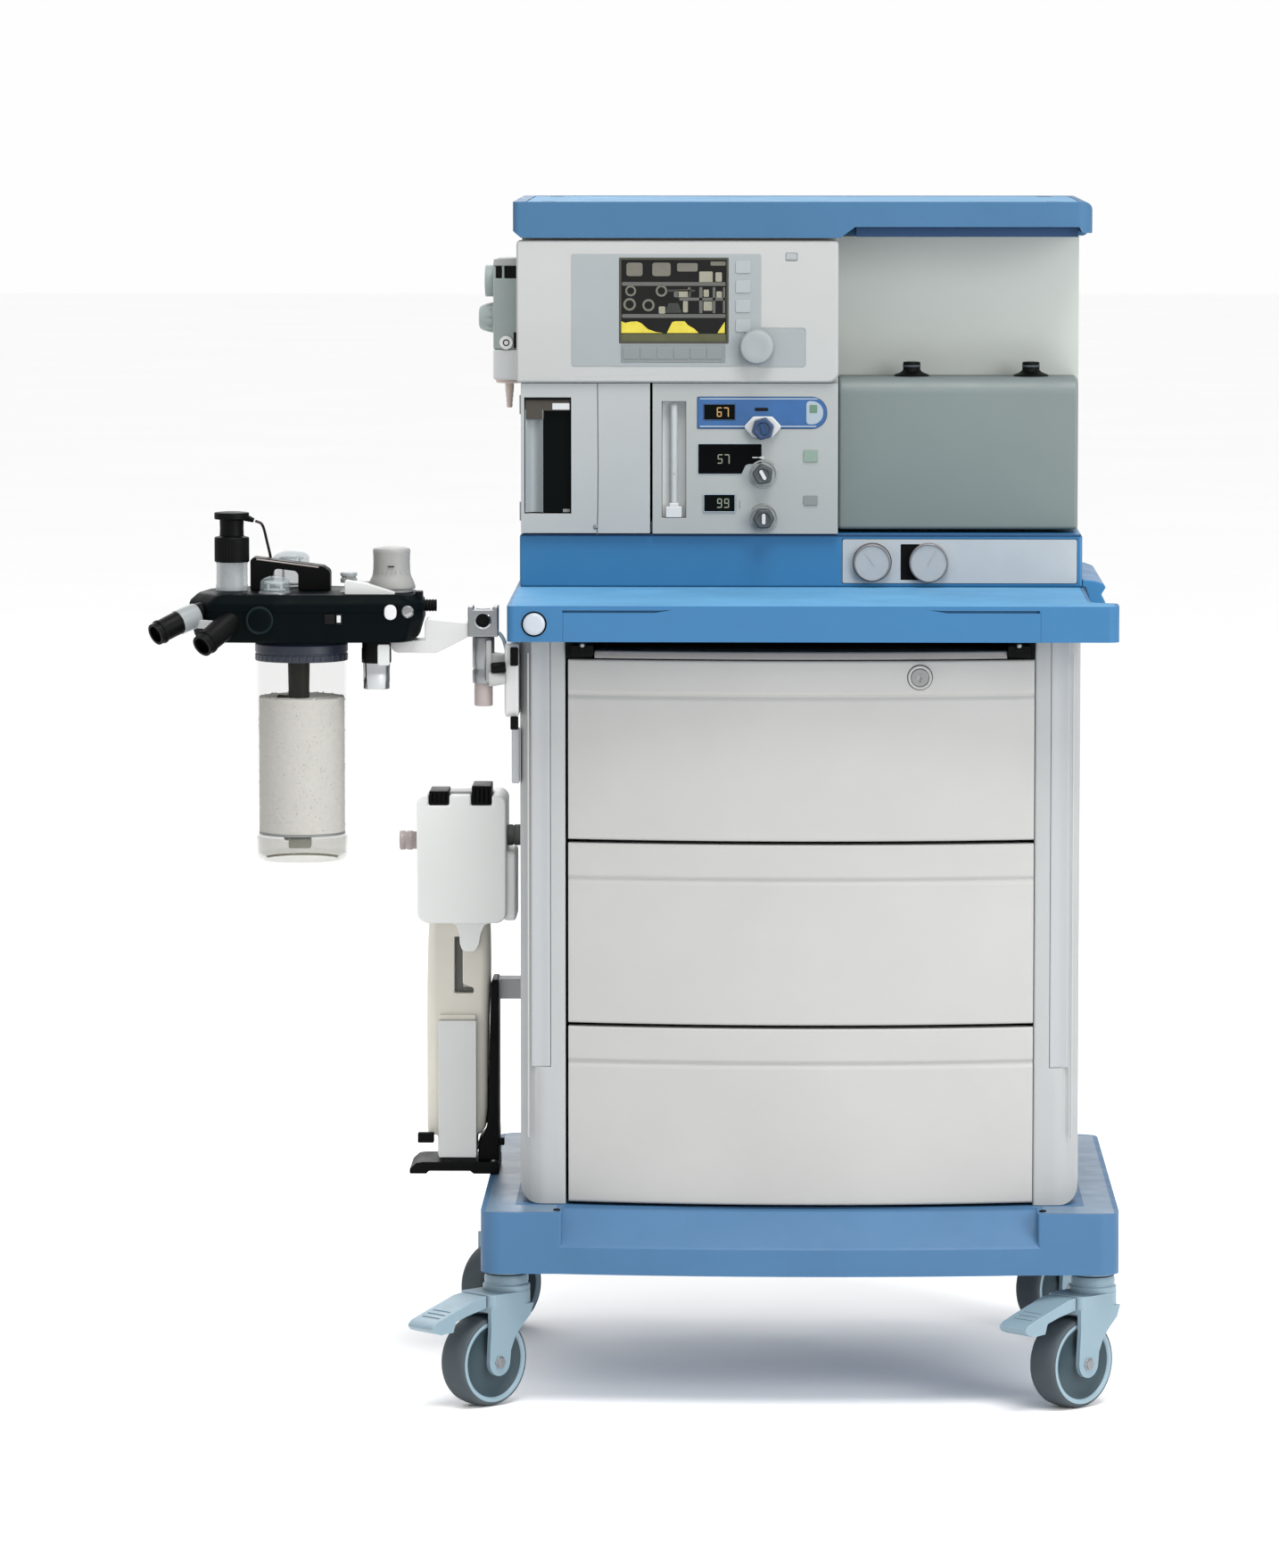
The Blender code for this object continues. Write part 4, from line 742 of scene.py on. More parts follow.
def make_tray():
    rows = mm("844.6 1.6, 845.2 0.4, 846.5 0, 851.5 0, 852.9 0.4, 853.5 1.6")
    half = 0.2322
    tray = drawer_front(-half, half, rows, 0.0998)
    pocket = prism(plate(-half + 0.012, half - 0.012, -0.262, 0.088, 0.006), "Z", 0.8525, 0.86)
    add("tray", "writing_tray", "tray_board", boolean(tray, pocket), "tray_grey", 0.0004, 2, angle=48,
        stands=True)
    add("cart", "tray_guide", "tray_channel", skin("tray_guide"), "black", 0.001, stands=True)
    for side, sign in (("left", -1), ("right", 1)):
        x = sign * 0.2455
        latch = joined(slab(x - 0.0125, x + 0.0125, 0.8475, 0.86, -0.2815, -0.2672, 0.0018, 4),
            box((x - 0.0042, -0.2836, 0.8535), (x + 0.0042, -0.28, 0.8662)))
        add("cart", "tray_guide", "latch_" + side, latch, "black", 0.0009)
        screw("latch_screw_" + side, (x, -0.2836, 0.86), 0.0026, "cart", "tray_guide", material="steel")


# ---- worktop and riser ------------------------------------------------------------------------
def make_worktop():
    put = partial(add, "cart", "worktop")
    corners = mm("-328 -355, 355 -355, 355 -300, 326 -285, 326 310, -328 310")
    outline = rounded(corners, [0.009, 0.013, 0.012, 0.012, 0.013, 0.013], 10)
    shelf = prism(outline, "Z", 0.869, 0.909)
    cuts = []
    for square, pointed in ((-0.266, -0.143), (0.266, 0.143)):
        lean = 1 if pointed > square else -1
        slit = [(square, 0.9016), (square, 0.9044), (pointed - 0.012 * lean, 0.9044), (pointed, 0.9052),
            (pointed - 0.02 * lean, 0.9016)]
        cuts.append(prism(slit if lean > 0 else slit[::-1], "Y", -0.37, -0.3505))
    cuts.append(rod((FLUSH_X, -0.37, FLUSH_Z), (FLUSH_X, -0.335, FLUSH_Z), 0.0142))
    cuts += [box((x - 0.0004, -0.36, 0.86), (x + 0.0004, -0.3545, 0.904)) for x in (-0.2655, 0.2672)]
    put("worktop_shell", boolean(shelf, *cuts), "worktop_blue", 0.0042, 4, angle=38, stands=True)
    # A thin lighter-blue sheet over the worktop's top: painted light, the top shown brighter as if lit from
    # above.
    sheet = prism(rounded(mm("-324 -350.5, 350.5 -350.5, 350.5 -303, 322 -288, 322 -48.2, -324 -48.2"),
        [0.006, 0.01, 0.01, 0.01, 0.002, 0.002], 8), "Z", 0.9086, 0.9093)
    put("worktop_sheet", sheet, "inlay_blue", 0.0003, 2)
    ring = turned(mm("12.8 4, 13 -0.4, 13.6 -0.8, 14.2 -0.2, 14.2 10, 12.8 10"), (FLUSH_X, -0.355, FLUSH_Z),
        "Y", hollow=True)
    put("flush_ring", ring, "badge_black", 0)
    button = turned(mm("0 -3.6, 7 -4, 10.4 -3.6, 12 -2.4, 12.4 -0.8, 12.4 11.8, 0 11.8"),
        (FLUSH_X, -0.355, FLUSH_Z), "Y")
    add("button", "flush_button", "flush_cap", button, "button_white", 0, angle=50, stands=True)


def make_riser():
    add("cart", "riser", "riser_shell", skin("riser"), "paint_blue", 0.0022, angle=40, stands=True)
    # A navy strip along the riser's top edge under the manifold: a painted shadow line.
    lip = slab(-0.3225, 0.3235, 0.9682, 0.9703, -0.0482, -0.044, 0.0009, 3)
    add("cart", "riser", "riser_shadow_lip", lip, "navy", 0.0006)
    left, right, low, high = 0.0486, 0.3187, 0.9139, 0.9645
    panel = slab(left, right, low, high, -0.0478, -0.0415, 0.002, 4)
    cuts = [slab(0.1155, 0.1372, 0.9175, 0.959, -0.06, -0.045, 0.0008, 2),
        rod((0.0827, -0.06, 0.938), (0.0827, -0.044, 0.938), 0.0226)]
    add("cart", "gauge_panel", "gauge_plate", boolean(panel, *cuts), "gauge_white", 0.0007, stands=True)
    add("cart", "gauge_panel", "gauge_window",
        slab(0.1157, 0.137, 0.9177, 0.9588, -0.046, -0.0449, 0.0006, 2), "black", 0.0003)
    for side, x, radius in (("left", 0.0827, 0.0217), ("right", 0.148, 0.0227)):
        put = partial(add, "cart", "gauge_" + side)
        y = -0.047
        rim = turned([(radius, 0.0), (radius, -0.0092), (radius - 0.0006, -0.0106), (radius - 0.0014, -0.011),
            (radius - 0.002, -0.0104), (radius - 0.0021, -0.0085), (radius - 0.006, 0.0)], (x, y, 0.938), "Y",
            hollow=True)
        put("gauge_rim_" + side, rim, "ring_bronze", 0, stands=True)
        dial = turned([(0, -0.0088), (radius - 0.002, -0.0088), (radius - 0.002, -0.006), (0, -0.006)],
            (x, y, 0.938), "Y")
        put("gauge_dial_" + side, dial, "dial_white", 0)
        marks = []
        for k in range(11):
            angle = radians(225 - 27 * k)
            inner = radius - (0.0082 if k % 5 == 0 else 0.0068)
            tick = box((inner, -0.0002, -0.00022), (radius - 0.005, 0.0002, 0.00022))
            tick.transform(Matrix.Translation((x, y - 0.009, 0.938)) @ Matrix.Rotation(-angle, 4, "Y"))
            marks.append(tick)
        put("gauge_marks_" + side, joined(*marks), "gauge_white", 0)
        needle = prism([(-0.004, -0.0008), (-0.004, 0.0008), (radius - 0.0075, 0.0002),
            (radius - 0.0075, -0.0002)], "Y", -0.0003, 0.0003)
        needle.transform(Matrix.Translation((x, y - 0.0094, 0.938))
            @ Matrix.Rotation(radians(-128 if side == "left" else -60), 4, "Y"))
        put("gauge_needle_" + side, needle, "bezel_grey", 0.0001, 1)
        glass = turned([(0, -0.0107), (radius - 0.0021, -0.0102), (radius - 0.0021, -0.0098), (0, -0.0102)],
            (x, y, 0.938), "Y")
        put("gauge_glass_" + side, glass, "clear_plastic", 0)
    add("cart", "side_rail", "rail_extrusion", skin("side_rail"), "paint_blue", angle=25, stands=True)


# ---- head -------------------------------------------------------------------------------------
def make_casings():
    grooves = [box((-0.33, -0.05, z), (-0.3207, 0.4, z + 0.0012)) for z in (1.1448,)]
    grooves += [block("-330 108 950, -320.7 109.2 1330")]
    add("cart", "head_shell", "head_casing", boolean(skin("head_shell"), *grooves), "case_grey", 0.002,
        angle=40, stands=True)
    grooves = [block("322.7 108 950, 330 109.2 1330")]
    add("cart", "bay_panel", "bay_casing", boolean(skin("bay_panel"), *grooves), "bay_grey", 0.002, angle=40,
        stands=True)
    back = 0.315
    for n, (left, right, node) in enumerate(((-0.295, 0.02, "head_shell"), (0.07, 0.3, "bay_panel"))):
        cover = slab(left, right, 1.095, 1.29, back - 0.001, back + 0.002, 0.008)
        slots = [slab(left + 0.03, right - 0.03, 1.185 + 0.014 * k, 1.1905 + 0.014 * k, back + 0.0004,
            back + 0.01, 0.0026, 4) for k in range(6)]
        add("cart", node, f"rear_cover_{n}", boolean(cover, *slots), "column_grey", 0.0007)
        for m, (x, z) in enumerate(((left + 0.012, 1.107), (right - 0.012, 1.107), (left + 0.012, 1.278),
                (right - 0.012, 1.278))):
            screw(f"rear_screw_{n}_{m}", (x, back + 0.0018, z), 0.004, "cart", node, "Y", 1)


def make_monitor():
    put = partial(add, "cart", "monitor_housing")
    put_screen = partial(add, "cart", "monitor_screen")
    housing = skin("monitor_housing")
    left, right, low, high = -0.208, -0.084, 1.1914, 1.2881
    recess = slab(-0.0515, 0.0055, 1.1628, 1.2085, -0.07, -0.0592, 0.004, 6)
    lamp = slab(-0.018, -0.004, 1.285, 1.2946, -0.07, -0.0588, 0.0012, 4)
    put("monitor_case", boolean(housing, recess, lamp), "case_grey", 0.0014, angle=35, stands=True)
    bezel = slab(-0.2636, -0.0455, 1.1643, 1.2934, -0.0606, -0.059, 0.003, 6)
    window = slab(left - 0.0008, right + 0.0008, low - 0.0008, high + 0.0008, -0.07, -0.05, 0.0012, 4)
    put("monitor_bezel", boolean(bezel, window), "bezel_grey", 0.0004, 2)
    frame_ring = boolean(slab(left - 0.0008, right + 0.0008, low - 0.0008, high + 0.0008, -0.0611, -0.0585,
        0.0012, 4), slab(left + 0.0016, right - 0.0016, low + 0.0016, high - 0.0016, -0.07, -0.05, 0.0008, 4))
    put_screen("screen_frame", frame_ring, "ui_olive_frame", 0.0003, 2)
    put_screen("screen_face", slab(left, right, low, high, -0.059, -0.0545, 0.001, 4), "screen_glass", 0.0003,
        2, stands=True)
    face = -0.059

    def area(u0, u1, v0, v1, radius=0.0012, depth=0.0004):
        """A thin rounded plate placed by fractions of the screen: u from the left, v from the top."""
        return slab(left + (right - left) * u0, left + (right - left) * u1, high - (high - low) * v1,
            high - (high - low) * v0, face - depth, face + 0.0002, radius, 4)

    def outline(places):
        return prism([(left + (right - left) * u, high - (high - low) * v) for u, v in places], "Y",
            face - 0.0004, face + 0.0002)

    keys = [area(0.06, 0.21, 0.05, 0.21, 0.003), area(0.3, 0.47, 0.05, 0.21, 0.003),
        area(0.53, 0.72, 0.055, 0.155, 0.002), area(0.84, 0.98, 0.035, 0.085, 0.001)]
    put_screen("ui_tabs", joined(*keys), "ui_grey", 0.0001, 1)
    bars = [area(0.02, 0.98, 0.28, 0.325), area(0.02, 0.98, 0.66, 0.705), area(0.55, 0.98, 0.465, 0.5),
        area(0.44, 0.7, 0.372, 0.392), area(0.5, 0.545, 0.395, 0.46), area(0.63, 0.655, 0.34, 0.46),
        area(0.735, 0.765, 0.34, 0.65), area(0.86, 0.885, 0.34, 0.65), area(0.955, 0.975, 0.34, 0.65)]
    put_screen("ui_rules", joined(*bars), "ui_rule", 0.0001, 1)
    fields = [area(0.735, 0.86, 0.155, 0.285), area(0.885, 0.945, 0.165, 0.275),
        area(0.535, 0.645, 0.37, 0.46), area(0.775, 0.825, 0.37, 0.455), area(0.895, 0.945, 0.39, 0.47),
        area(0.585, 0.63, 0.505, 0.64), area(0.775, 0.855, 0.51, 0.62), area(0.36, 0.42, 0.57, 0.655)]
    put_screen("ui_fields", joined(*fields), "ui_white", 0.0001, 1)
    rings = []
    for u, v, radius in ((0.1, 0.385, 0.0062), (0.09, 0.545, 0.0072), (0.265, 0.555, 0.007),
            (0.385, 0.385, 0.0066)):
        centre = (left + (right - left) * u, face, high - (high - low) * v)
        rings.append(turned([(radius, 0.0002), (radius, -0.0004), (radius * 0.66, -0.0004),
            (radius * 0.66, 0.0002)], centre, "Y", 40, hollow=True))
    put_screen("ui_dials", joined(*rings), "ui_grey", 0)
    hood = ((0.42, 0.645), (0.45, 0.53), (0.54, 0.53), (0.575, 0.645))
    put_screen("ui_hood", outline(hood), "ui_dark", 0.0001, 1)
    humps = (((0.012, 0.885), (0.012, 0.745), (0.05, 0.765), (0.1, 0.75), (0.16, 0.748), (0.2, 0.77),
        (0.26, 0.84), (0.34, 0.875), (0.4, 0.885)), ((0.435, 0.885), (0.485, 0.755), (0.515, 0.745),
        (0.6, 0.745), (0.63, 0.79), (0.69, 0.835), (0.73, 0.885)),
        ((0.905, 0.885), (0.925, 0.84), (0.972, 0.75), (0.972, 0.885)))
    put_screen("ui_waves", joined(*map(outline, humps)), "ui_yellow", 0.0001, 1)
    put_screen("ui_footer", joined(area(0.012, 0.985, 0.895, 0.985, 0.0006),
        area(0.45, 0.7, 0.915, 0.945, 0.0004, 0.0006)), "ui_olive", 0.0001, 1)
    put("soft_key_panel", slab(-0.2067, -0.0868, 1.1688, 1.1898, -0.0612, -0.06, 0.0014, 4), "soft_key",
        0.0004, 2)
    keys = [slab(x, x + 0.018, 1.1725, 1.186, -0.0618, -0.0608, 0.0016, 4)
        for x in (-0.204, -0.1848, -0.1656, -0.1464, -0.1272, -0.108)]
    put("soft_keys", joined(*keys), "soft_key", 0.0005, 2)
    column = [slab(-0.0752, -0.0578, 1.2712 - 0.0225 * k, 1.2855 - 0.0225 * k, -0.0616, -0.0604, 0.0018, 4)
        for k in range(4)]
    put("side_keys", joined(*column), "key_pale", 0.0006, 2)
    plaque = slab(-0.0509, 0.0049, 1.1634, 1.2079, -0.0598, -0.0591, 0.0035, 6)
    put("menu_plaque", plaque, "bezel_grey", 0.0002, 1)
    put("power_bar", slab(-0.0172, -0.0048, 1.2858, 1.2872, -0.0604, -0.0598, 0.0004, 3), "tag_grey", 0.0001,
        1)
    put("power_lamp", slab(-0.0172, -0.0048, 1.2858, 1.2938, -0.06, -0.0586, 0.001, 4), "key_pale", 0.0004, 2)
    centre = (-0.0507, -0.0604, 1.1868)
    knob = turned(mm("0 -17.2, 9 -17.6, 15 -18, 17.8 -17.2, 19.2 -15, 19.7 -8, 20.5 -2, 20.5 -0.2, 0 -0.2"),
        centre, "Y", 72)
    knob = boolean(knob, rod_ring((centre[0], centre[2]), 0.0209, 30, -0.09, -0.065, 0.001, axis="Y"))
    add("menu", "menu_knob", "menu_dial", knob, "bezel_grey", 0, angle=28, stands=True)


def make_door():
    put = partial(add, "door", "ventilator_door")
    put_window = partial(add, "door", "door_window")
    door = skin("ventilator_door")
    seam = mm("-234.5 970, -233.8 1000, -233.3 1050, -233.7 1100, -234 1146")
    line = [(x - 0.0005, z) for x, z in seam] + [(x + 0.0005, z) for x, z in reversed(seam)]
    put("door_panel", boolean(door, prism(line, "Y", -0.06, -0.0538)), "door_grey", 0.0016, angle=40,
        stands=True)
    line = [(x - 0.0006, z) for x, z in seam] + [(x + 0.0006, z) for x, z in reversed(seam)]
    put("door_seam", prism(line, "Y", -0.0544, -0.0534), "seam_brown", 0)
    left, right = -0.318, -0.2647
    back = -0.042
    put_window("window_pane", slab(-0.2965, right - 0.0004, 0.9955, 1.1145, -0.047, back, 0.001, 3), "smoked",
        0.0004, 2, stands=True)
    niche = []
    for k in range(13):
        t = k / 12
        niche.append((left + 0.0006 + (0.0205) * t, -0.0525 + 0.0085 * sin(pi * t)))
    niche += [(-0.2969, back), (left + 0.0006, back)]
    put_window("window_niche", prism(niche, "Z", 0.9955, 1.114), "bezel_grey", 0.0003, 2, angle=50)
    band = slab(left + 0.0006, right - 0.0006, 1.103, 1.125, -0.0515, -0.047, 0.0006, 2)
    band = boolean(band, slab(-0.2958, -0.264, 1.1, 1.1128, -0.06, -0.04, 0.0004, 2))
    put_window("window_band", band, "band_dark", 0.0005, 2)
    put_window("window_label", slab(-0.286, -0.2662, 1.114, 1.1215, -0.0522, -0.0512, 0.0008, 3), "key_white",
        0.0002, 2)
    # A black strip across the top of the window's opening: painted shade under the door's upper edge.
    put_window("window_shade", box((left + 0.0004, -0.0535, 1.1252), (right - 0.0004, -0.042, 1.1277)),
        "black_matt", 0.0003)
    put_window("window_foot", block("-274 -48 995.8, -266 -46.5 999.2"), "tag_grey", 0.0002)
    screw("door_latch", (-0.2362, -0.055, 0.9792), 0.0028, "door", "ventilator_door")
    for n, z in enumerate((0.985, 1.108)):
        hinge = rod((-0.3216, -0.0345, z), (-0.3216, -0.0345, z + 0.022), 0.003, steps=24)
        put(f"door_hinge_{n}", hinge, "brushed", 0.0004)
    cylinder = turned(mm("0 983.5, 49.5 983.5, 50 984.5, 50 994, 49 995, 46.2 996, 46.2 1110, 49 1111.2, "
        "50 1112.2, 50 1123, 49 1124, 0 1124"), (-0.245, 0.05, 0))
    add("cart", "ventilator_cylinder", "bellows_cylinder", cylinder, "brushed", 0, stands=True)


def digits(x, z, width, height, front, count=2, seed=3):
    """Seven-segment figures as thin plates."""
    lit = {0: "abcdef", 1: "bc", 2: "abged", 3: "abgcd", 4: "fgbc", 5: "afgcd", 6: "afgedc", 7: "abc",
        8: "abcdefg", 9: "abcdfg"}
    draw = random.Random(seed)
    thick = width * 0.2
    shapes = []
    for n in range(count):
        base = x + n * width * 1.45
        bars = {"a": (base, z + height - thick, width, thick),
            "g": (base, z + height / 2 - thick / 2, width, thick), "d": (base, z, width, thick),
            "f": (base, z + height / 2, thick, height / 2), "e": (base, z, thick, height / 2),
            "b": (base + width - thick, z + height / 2, thick, height / 2),
            "c": (base + width - thick, z, thick, height / 2)}
        for key in lit[draw.randint(2, 9)]:
            left, low, wide, tall = bars[key]
            shapes.append(box((left, front - 0.0002, low), (left + wide, front + 0.0002, low + tall)))
    return joined(*shapes)


def make_flow_panel():
    put = partial(add, "cart", "flow_panel")
    put_tube = partial(add, "cart", "flow_tube")
    y = PANEL_FACE
    panel = skin("flow_panel")
    badge = plate(-0.1185, 0.0298, 1.093, 1.1287, [0.001, 0.0172, 0.0172, 0.001], 12)
    black = mm("-117.8 1040.6, -68 1040.6, -63.2 1050.5, -60 1051.6, -45 1052.8, -45 1074.7, -117.8 1074.7")
    black = rounded(black, [0.001, 0.001, 0.003, 0.002, 0.001, 0.001, 0.001], 4)
    panel = boolean(panel, slab(-0.111, -0.0748, 0.9962, 1.017, -0.06, -0.053, 0.0008, 3))
    put("flow_plate", panel, "flow_grey", 0.0014, angle=40, stands=True)
    rim = boolean(slab(-0.1192, 0.0305, 1.0923, 1.1294, y - 0.0008, y + 0.0002,
        [0.0016, 0.018, 0.018, 0.0016], 12), prism(badge, "Y", -0.07, -0.05))
    put("oxygen_badge_rim", rim, "navy", 0.0002, 1)
    display = slab(-0.1114, -0.0757, 1.1027, 1.1203, -0.07, y - 0.0002, 0.0006, 2)
    put("oxygen_badge", boolean(prism(badge, "Y", y - 0.0009, y + 0.0002), display), "oxygen_badge", 0.0002,
        2)
    shapes = [slab(-0.116, 0.02, 1.1262, 1.1275, y - 0.0012, y - 0.0006, 0.0004, 2), slab(-0.116, 0.018,
        1.0944, 1.0958, y - 0.0012, y - 0.0006, 0.0004, 2)]
    put("oxygen_badge_lines", joined(*shapes), "badge_rim", 0.0001, 1)
    glow_end = plate(0.0065, 0.0258, 1.0975, 1.1242, [0.004, 0.0128, 0.0128, 0.004], 10)
    put("oxygen_badge_end", prism(glow_end, "Y", y - 0.0012, y - 0.0006), "badge_rim", 0.0002, 1)
    put("air_badge", prism(black, "Y", y - 0.0009, y + 0.0002), "badge_black", 0.0002, 2)
    outline = rounded(mm("-118.6 1039.8, -67.4 1039.8, -62.4 1049.7, -59.8 1050.8, -44.2 1052, -44.2 1075.5, "
        "-118.6 1075.5"), [0.0014, 0.001, 0.003, 0.002, 0.0014, 0.0014, 0.0014], 4)
    put("air_badge_rim", boolean(prism(outline, "Y", y - 0.0006, y + 0.0002),
        prism(black, "Y", -0.07, -0.05)), "badge_rim", 0.0001, 1)
    for n, (low, high) in enumerate(((1.1027, 1.1203), (0.9968, 1.0165))):
        put(f"display_{n}", slab(-0.111, -0.0757, low + 0.0003, high - 0.0003, y - 0.0004, y + 0.0012, 0.0008,
            3), "smoked", 0.0002, 2)
        bezel = boolean(slab(-0.1122, -0.0749, low - 0.0008, high + 0.0008, y - 0.0013, y + 0.0002, 0.001, 3),
            slab(-0.111, -0.076, low + 0.0003, high - 0.0003, -0.07, -0.05, 0.0006, 3))
        put(f"display_bezel_{n}", bezel, "badge_blue" if n == 0 else "badge_rim", 0.0002, 1)
    put("oxygen_figures", digits(-0.0965, 1.1062, 0.0056, 0.0108, y - 0.0006, 2, 5), "ui_amber", 0)
    put("air_figures", digits(-0.0955, 1.0522, 0.0056, 0.0108, y - 0.0011, 2, 8), "ui_white", 0)
    put("nitrous_figures", digits(-0.096, 1.0012, 0.0056, 0.0108, y - 0.0006, 2, 11), "ui_green", 0)
    for n, (low, high) in enumerate(mm("1110.5 1120, 1054.4 1068, 1004.5 1015.5")):
        left = 0.01 if n == 0 else 0.0036
        put(f"gas_tag_{n}", slab(left, left + (0.009 if n == 0 else 0.016), low, high, y - 0.0014, y - 0.0002,
            0.0014, 4), ("tag_green", "tag_sage", "tag_grey")[n], 0.0002, 1)
    arrows = [prism(mm("-50 1059.3, -42 1057, -42 1061.5"), "Y", y - 0.0014, y - 0.0006),
        box((-0.0555, y - 0.0014, 1.0586), (-0.0495, y - 0.0006, 1.06))]
    put("air_pointer", joined(*arrows), "key_white", 0)
    put("oxygen_mark", slab(-0.053, -0.0372, 1.1128, 1.1166, y - 0.0015, y - 0.0005, 0.0018, 4), "black_matt",
        0.0002, 1)
    tick = box((-0.0706, y - 0.0005, 1.0006), (-0.0696, y + 0.0002, 1.0096))
    put("nitrous_tick", tick, "tag_grey", 0)
    for n, z in enumerate((1.04, 0.9893)):
        arc = []
        for k in range(15):
            angle = radians(40 + 100 * k / 14)
            arc.append((-0.043 + 0.0165 * cos(angle), y - 0.0004, z + 0.0165 * sin(angle)))
        put(f"knob_arc_{n}", tube(arc, 0.0006, 8), "tag_grey", 0)
    collar = [(-0.0437 + 0.0222 * cos(radians(60 * k)), 1.0945 + 0.0138 * sin(radians(60 * k)) * 1.02)
        for k in range(6)]
    put("oxygen_collar", prism(rounded(collar, 0.004, 5), "Y", y - 0.0052, y - 0.0002), "key_white", 0.0014)
    for n, (x, z) in enumerate(((-0.0434, 1.04), (-0.0424, 0.9893))):
        ring = turned(mm("14 0.2, 14.6 -1, 16 -1.4, 16.6 -0.4, 16.6 0.2"), (x, y, z), "Y", hollow=True)
        put(f"knob_seat_{n}", ring, "flow_grey", 0)
    flow_knob("oxygen_knob", "knob_oxygen", -0.0434, 1.0927, 0.0132, "badge_blue", "navy", 6)
    flow_knob("air_knob", "knob_air", -0.0434, 1.04, 0.0124, "knob_grey", "key_white", 5, tilt=28)
    flow_knob("nitrous_knob", "knob_nitrous", -0.0424, 0.9893, 0.0124, "knob_grey", "key_white", 6, tilt=0)
    left, right, low, high = -0.16, -0.132, 0.9893, 1.1237
    x = (left + right) / 2
    tube_y = y + 0.008
    wall = turned([(0.0054, low + 0.013), (0.0054, 1.1215), (0.0042, 1.1215), (0.0042, low + 0.013)],
        (x, tube_y, 0), hollow=True)
    put_tube("flow_tube_glass", wall, "clear_plastic", 0, stands=True)
    core = turned([(0, low + 0.0132), (0.0034, low + 0.0132), (0.004, 1.119), (0, 1.119)], (x, tube_y, 0))
    put_tube("flow_tube_core", core, "tube_white", 0)
    ball = turned([(0, low + 0.048)] + [(0.0026 * sin(pi * k / 12), low + 0.0506 - 0.0026 * cos(pi * k / 12))
        for k in range(1, 12)] + [(0, low + 0.0532)], (x, tube_y - 0.0012, 0), steps=24)
    put_tube("flow_float", ball, "tag_grey", 0)
    base = joined(slab(x - 0.0092, x + 0.0092, low + 0.0006, low + 0.0132, y - 0.0002, y + 0.0155, 0.0014, 4),
        slab(x - 0.0052, x + 0.0052, low + 0.013, low + 0.0172, tube_y - 0.0058, tube_y + 0.0058, 0.001, 4))
    put_tube("flow_tube_base", base, "key_white", 0.0008)
    back = slab(left + 0.0004, right - 0.0004, low + 0.0004, high - 0.0004, y + 0.0138, y + 0.015, 0.001, 3)
    put("flow_tube_back", back, "flow_back", 0.0003)


def flow_knob(node, body, x, z, radius, finish, slot_finish, sides, tilt=15):
    """A faceted control knob with a raised rib on its face."""
    y = PANEL_FACE
    outline = rounded([(x + radius * cos(radians(tilt + 360 * k / sides)) * 1.06,
        z + radius * sin(radians(tilt + 360 * k / sides)) * 1.06) for k in range(sides)], 0.004, 6)
    waist = rounded([(x + radius * cos(radians(tilt + 360 * k / sides)) * 0.97,
        z + radius * sin(radians(tilt + 360 * k / sides)) * 0.97) for k in range(sides)], 0.0036, 6)
    rings = [[(a, depth, b) for a, b in ring] for depth, ring in ((y - 0.0005, outline), (y - 0.006, outline),
        (y - 0.0178, waist), (y - 0.019, [((a - x) * 0.93 + x, (b - z) * 0.93 + z) for a, b in waist]))]
    knob = boolean(lofted(rings), turned([(0, -0.003), (radius * 0.62, -0.003), (radius * 0.56, 0.0012),
        (0, 0.0012)], (x, y - 0.019, z), "Y", 36))
    add(body, node, node + "_grip", knob, finish, 0.0006, 2, angle=35, stands=True)
    rib = slab(-radius * 0.17, radius * 0.17, -radius * 0.5, radius * 0.5, -0.0196, -0.0174, radius * 0.16, 6)
    rib.transform(Matrix.Translation((x, y, z)) @ Matrix.Rotation(radians(-tilt), 4, "Y"))
    add(body, node, node + "_rib", rib, slot_finish, 0.0003, 2)


# ---- bay and cap ------------------------------------------------------------------------------
def make_bay():
    low, high, front, back = 0.9745, 1.15, -0.02, 0.06
    side = plate(front, back, low, high, [0.004, 0.0, 0.0, 0.019], 12)
    body = prism(side, "X", 0.0436, 0.3204)
    add("cart", "vaporizer_manifold", "manifold_body", body, "slate", 0.0052, 5, angle=60, stands=True)
    for name, x in (("left", 0.1287), ("right", 0.2668)):
        node = "vaporizer_peg_" + name
        foot = 1.1503
        peg = turned([(0, foot), (0.0205, foot), (0.0205, foot + 0.001), (0.019, foot + 0.002),
            (0.0148, foot + 0.0034), (0.0118, foot + 0.0052), (0.0103, foot + 0.0068), (0.01, foot + 0.008),
            (0.01, foot + 0.0152), (0.0094, foot + 0.0162), (0.006, foot + 0.0165), (0.0056, foot + 0.015),
            (0, foot + 0.015)], (x, 0.02, 0), steps=64)
        add("cart", node, "peg_" + name, peg, "black", 0, angle=45, stands=True)
        ring = turned([(0.0101, foot + 0.0106), (0.0103, foot + 0.011), (0.0103, foot + 0.0122),
            (0.0101, foot + 0.0126), (0.0098, foot + 0.0116)], (x, 0.02, 0), steps=48, hollow=True)
        add("cart", node, "peg_seal_" + name, ring, "rubber", 0)


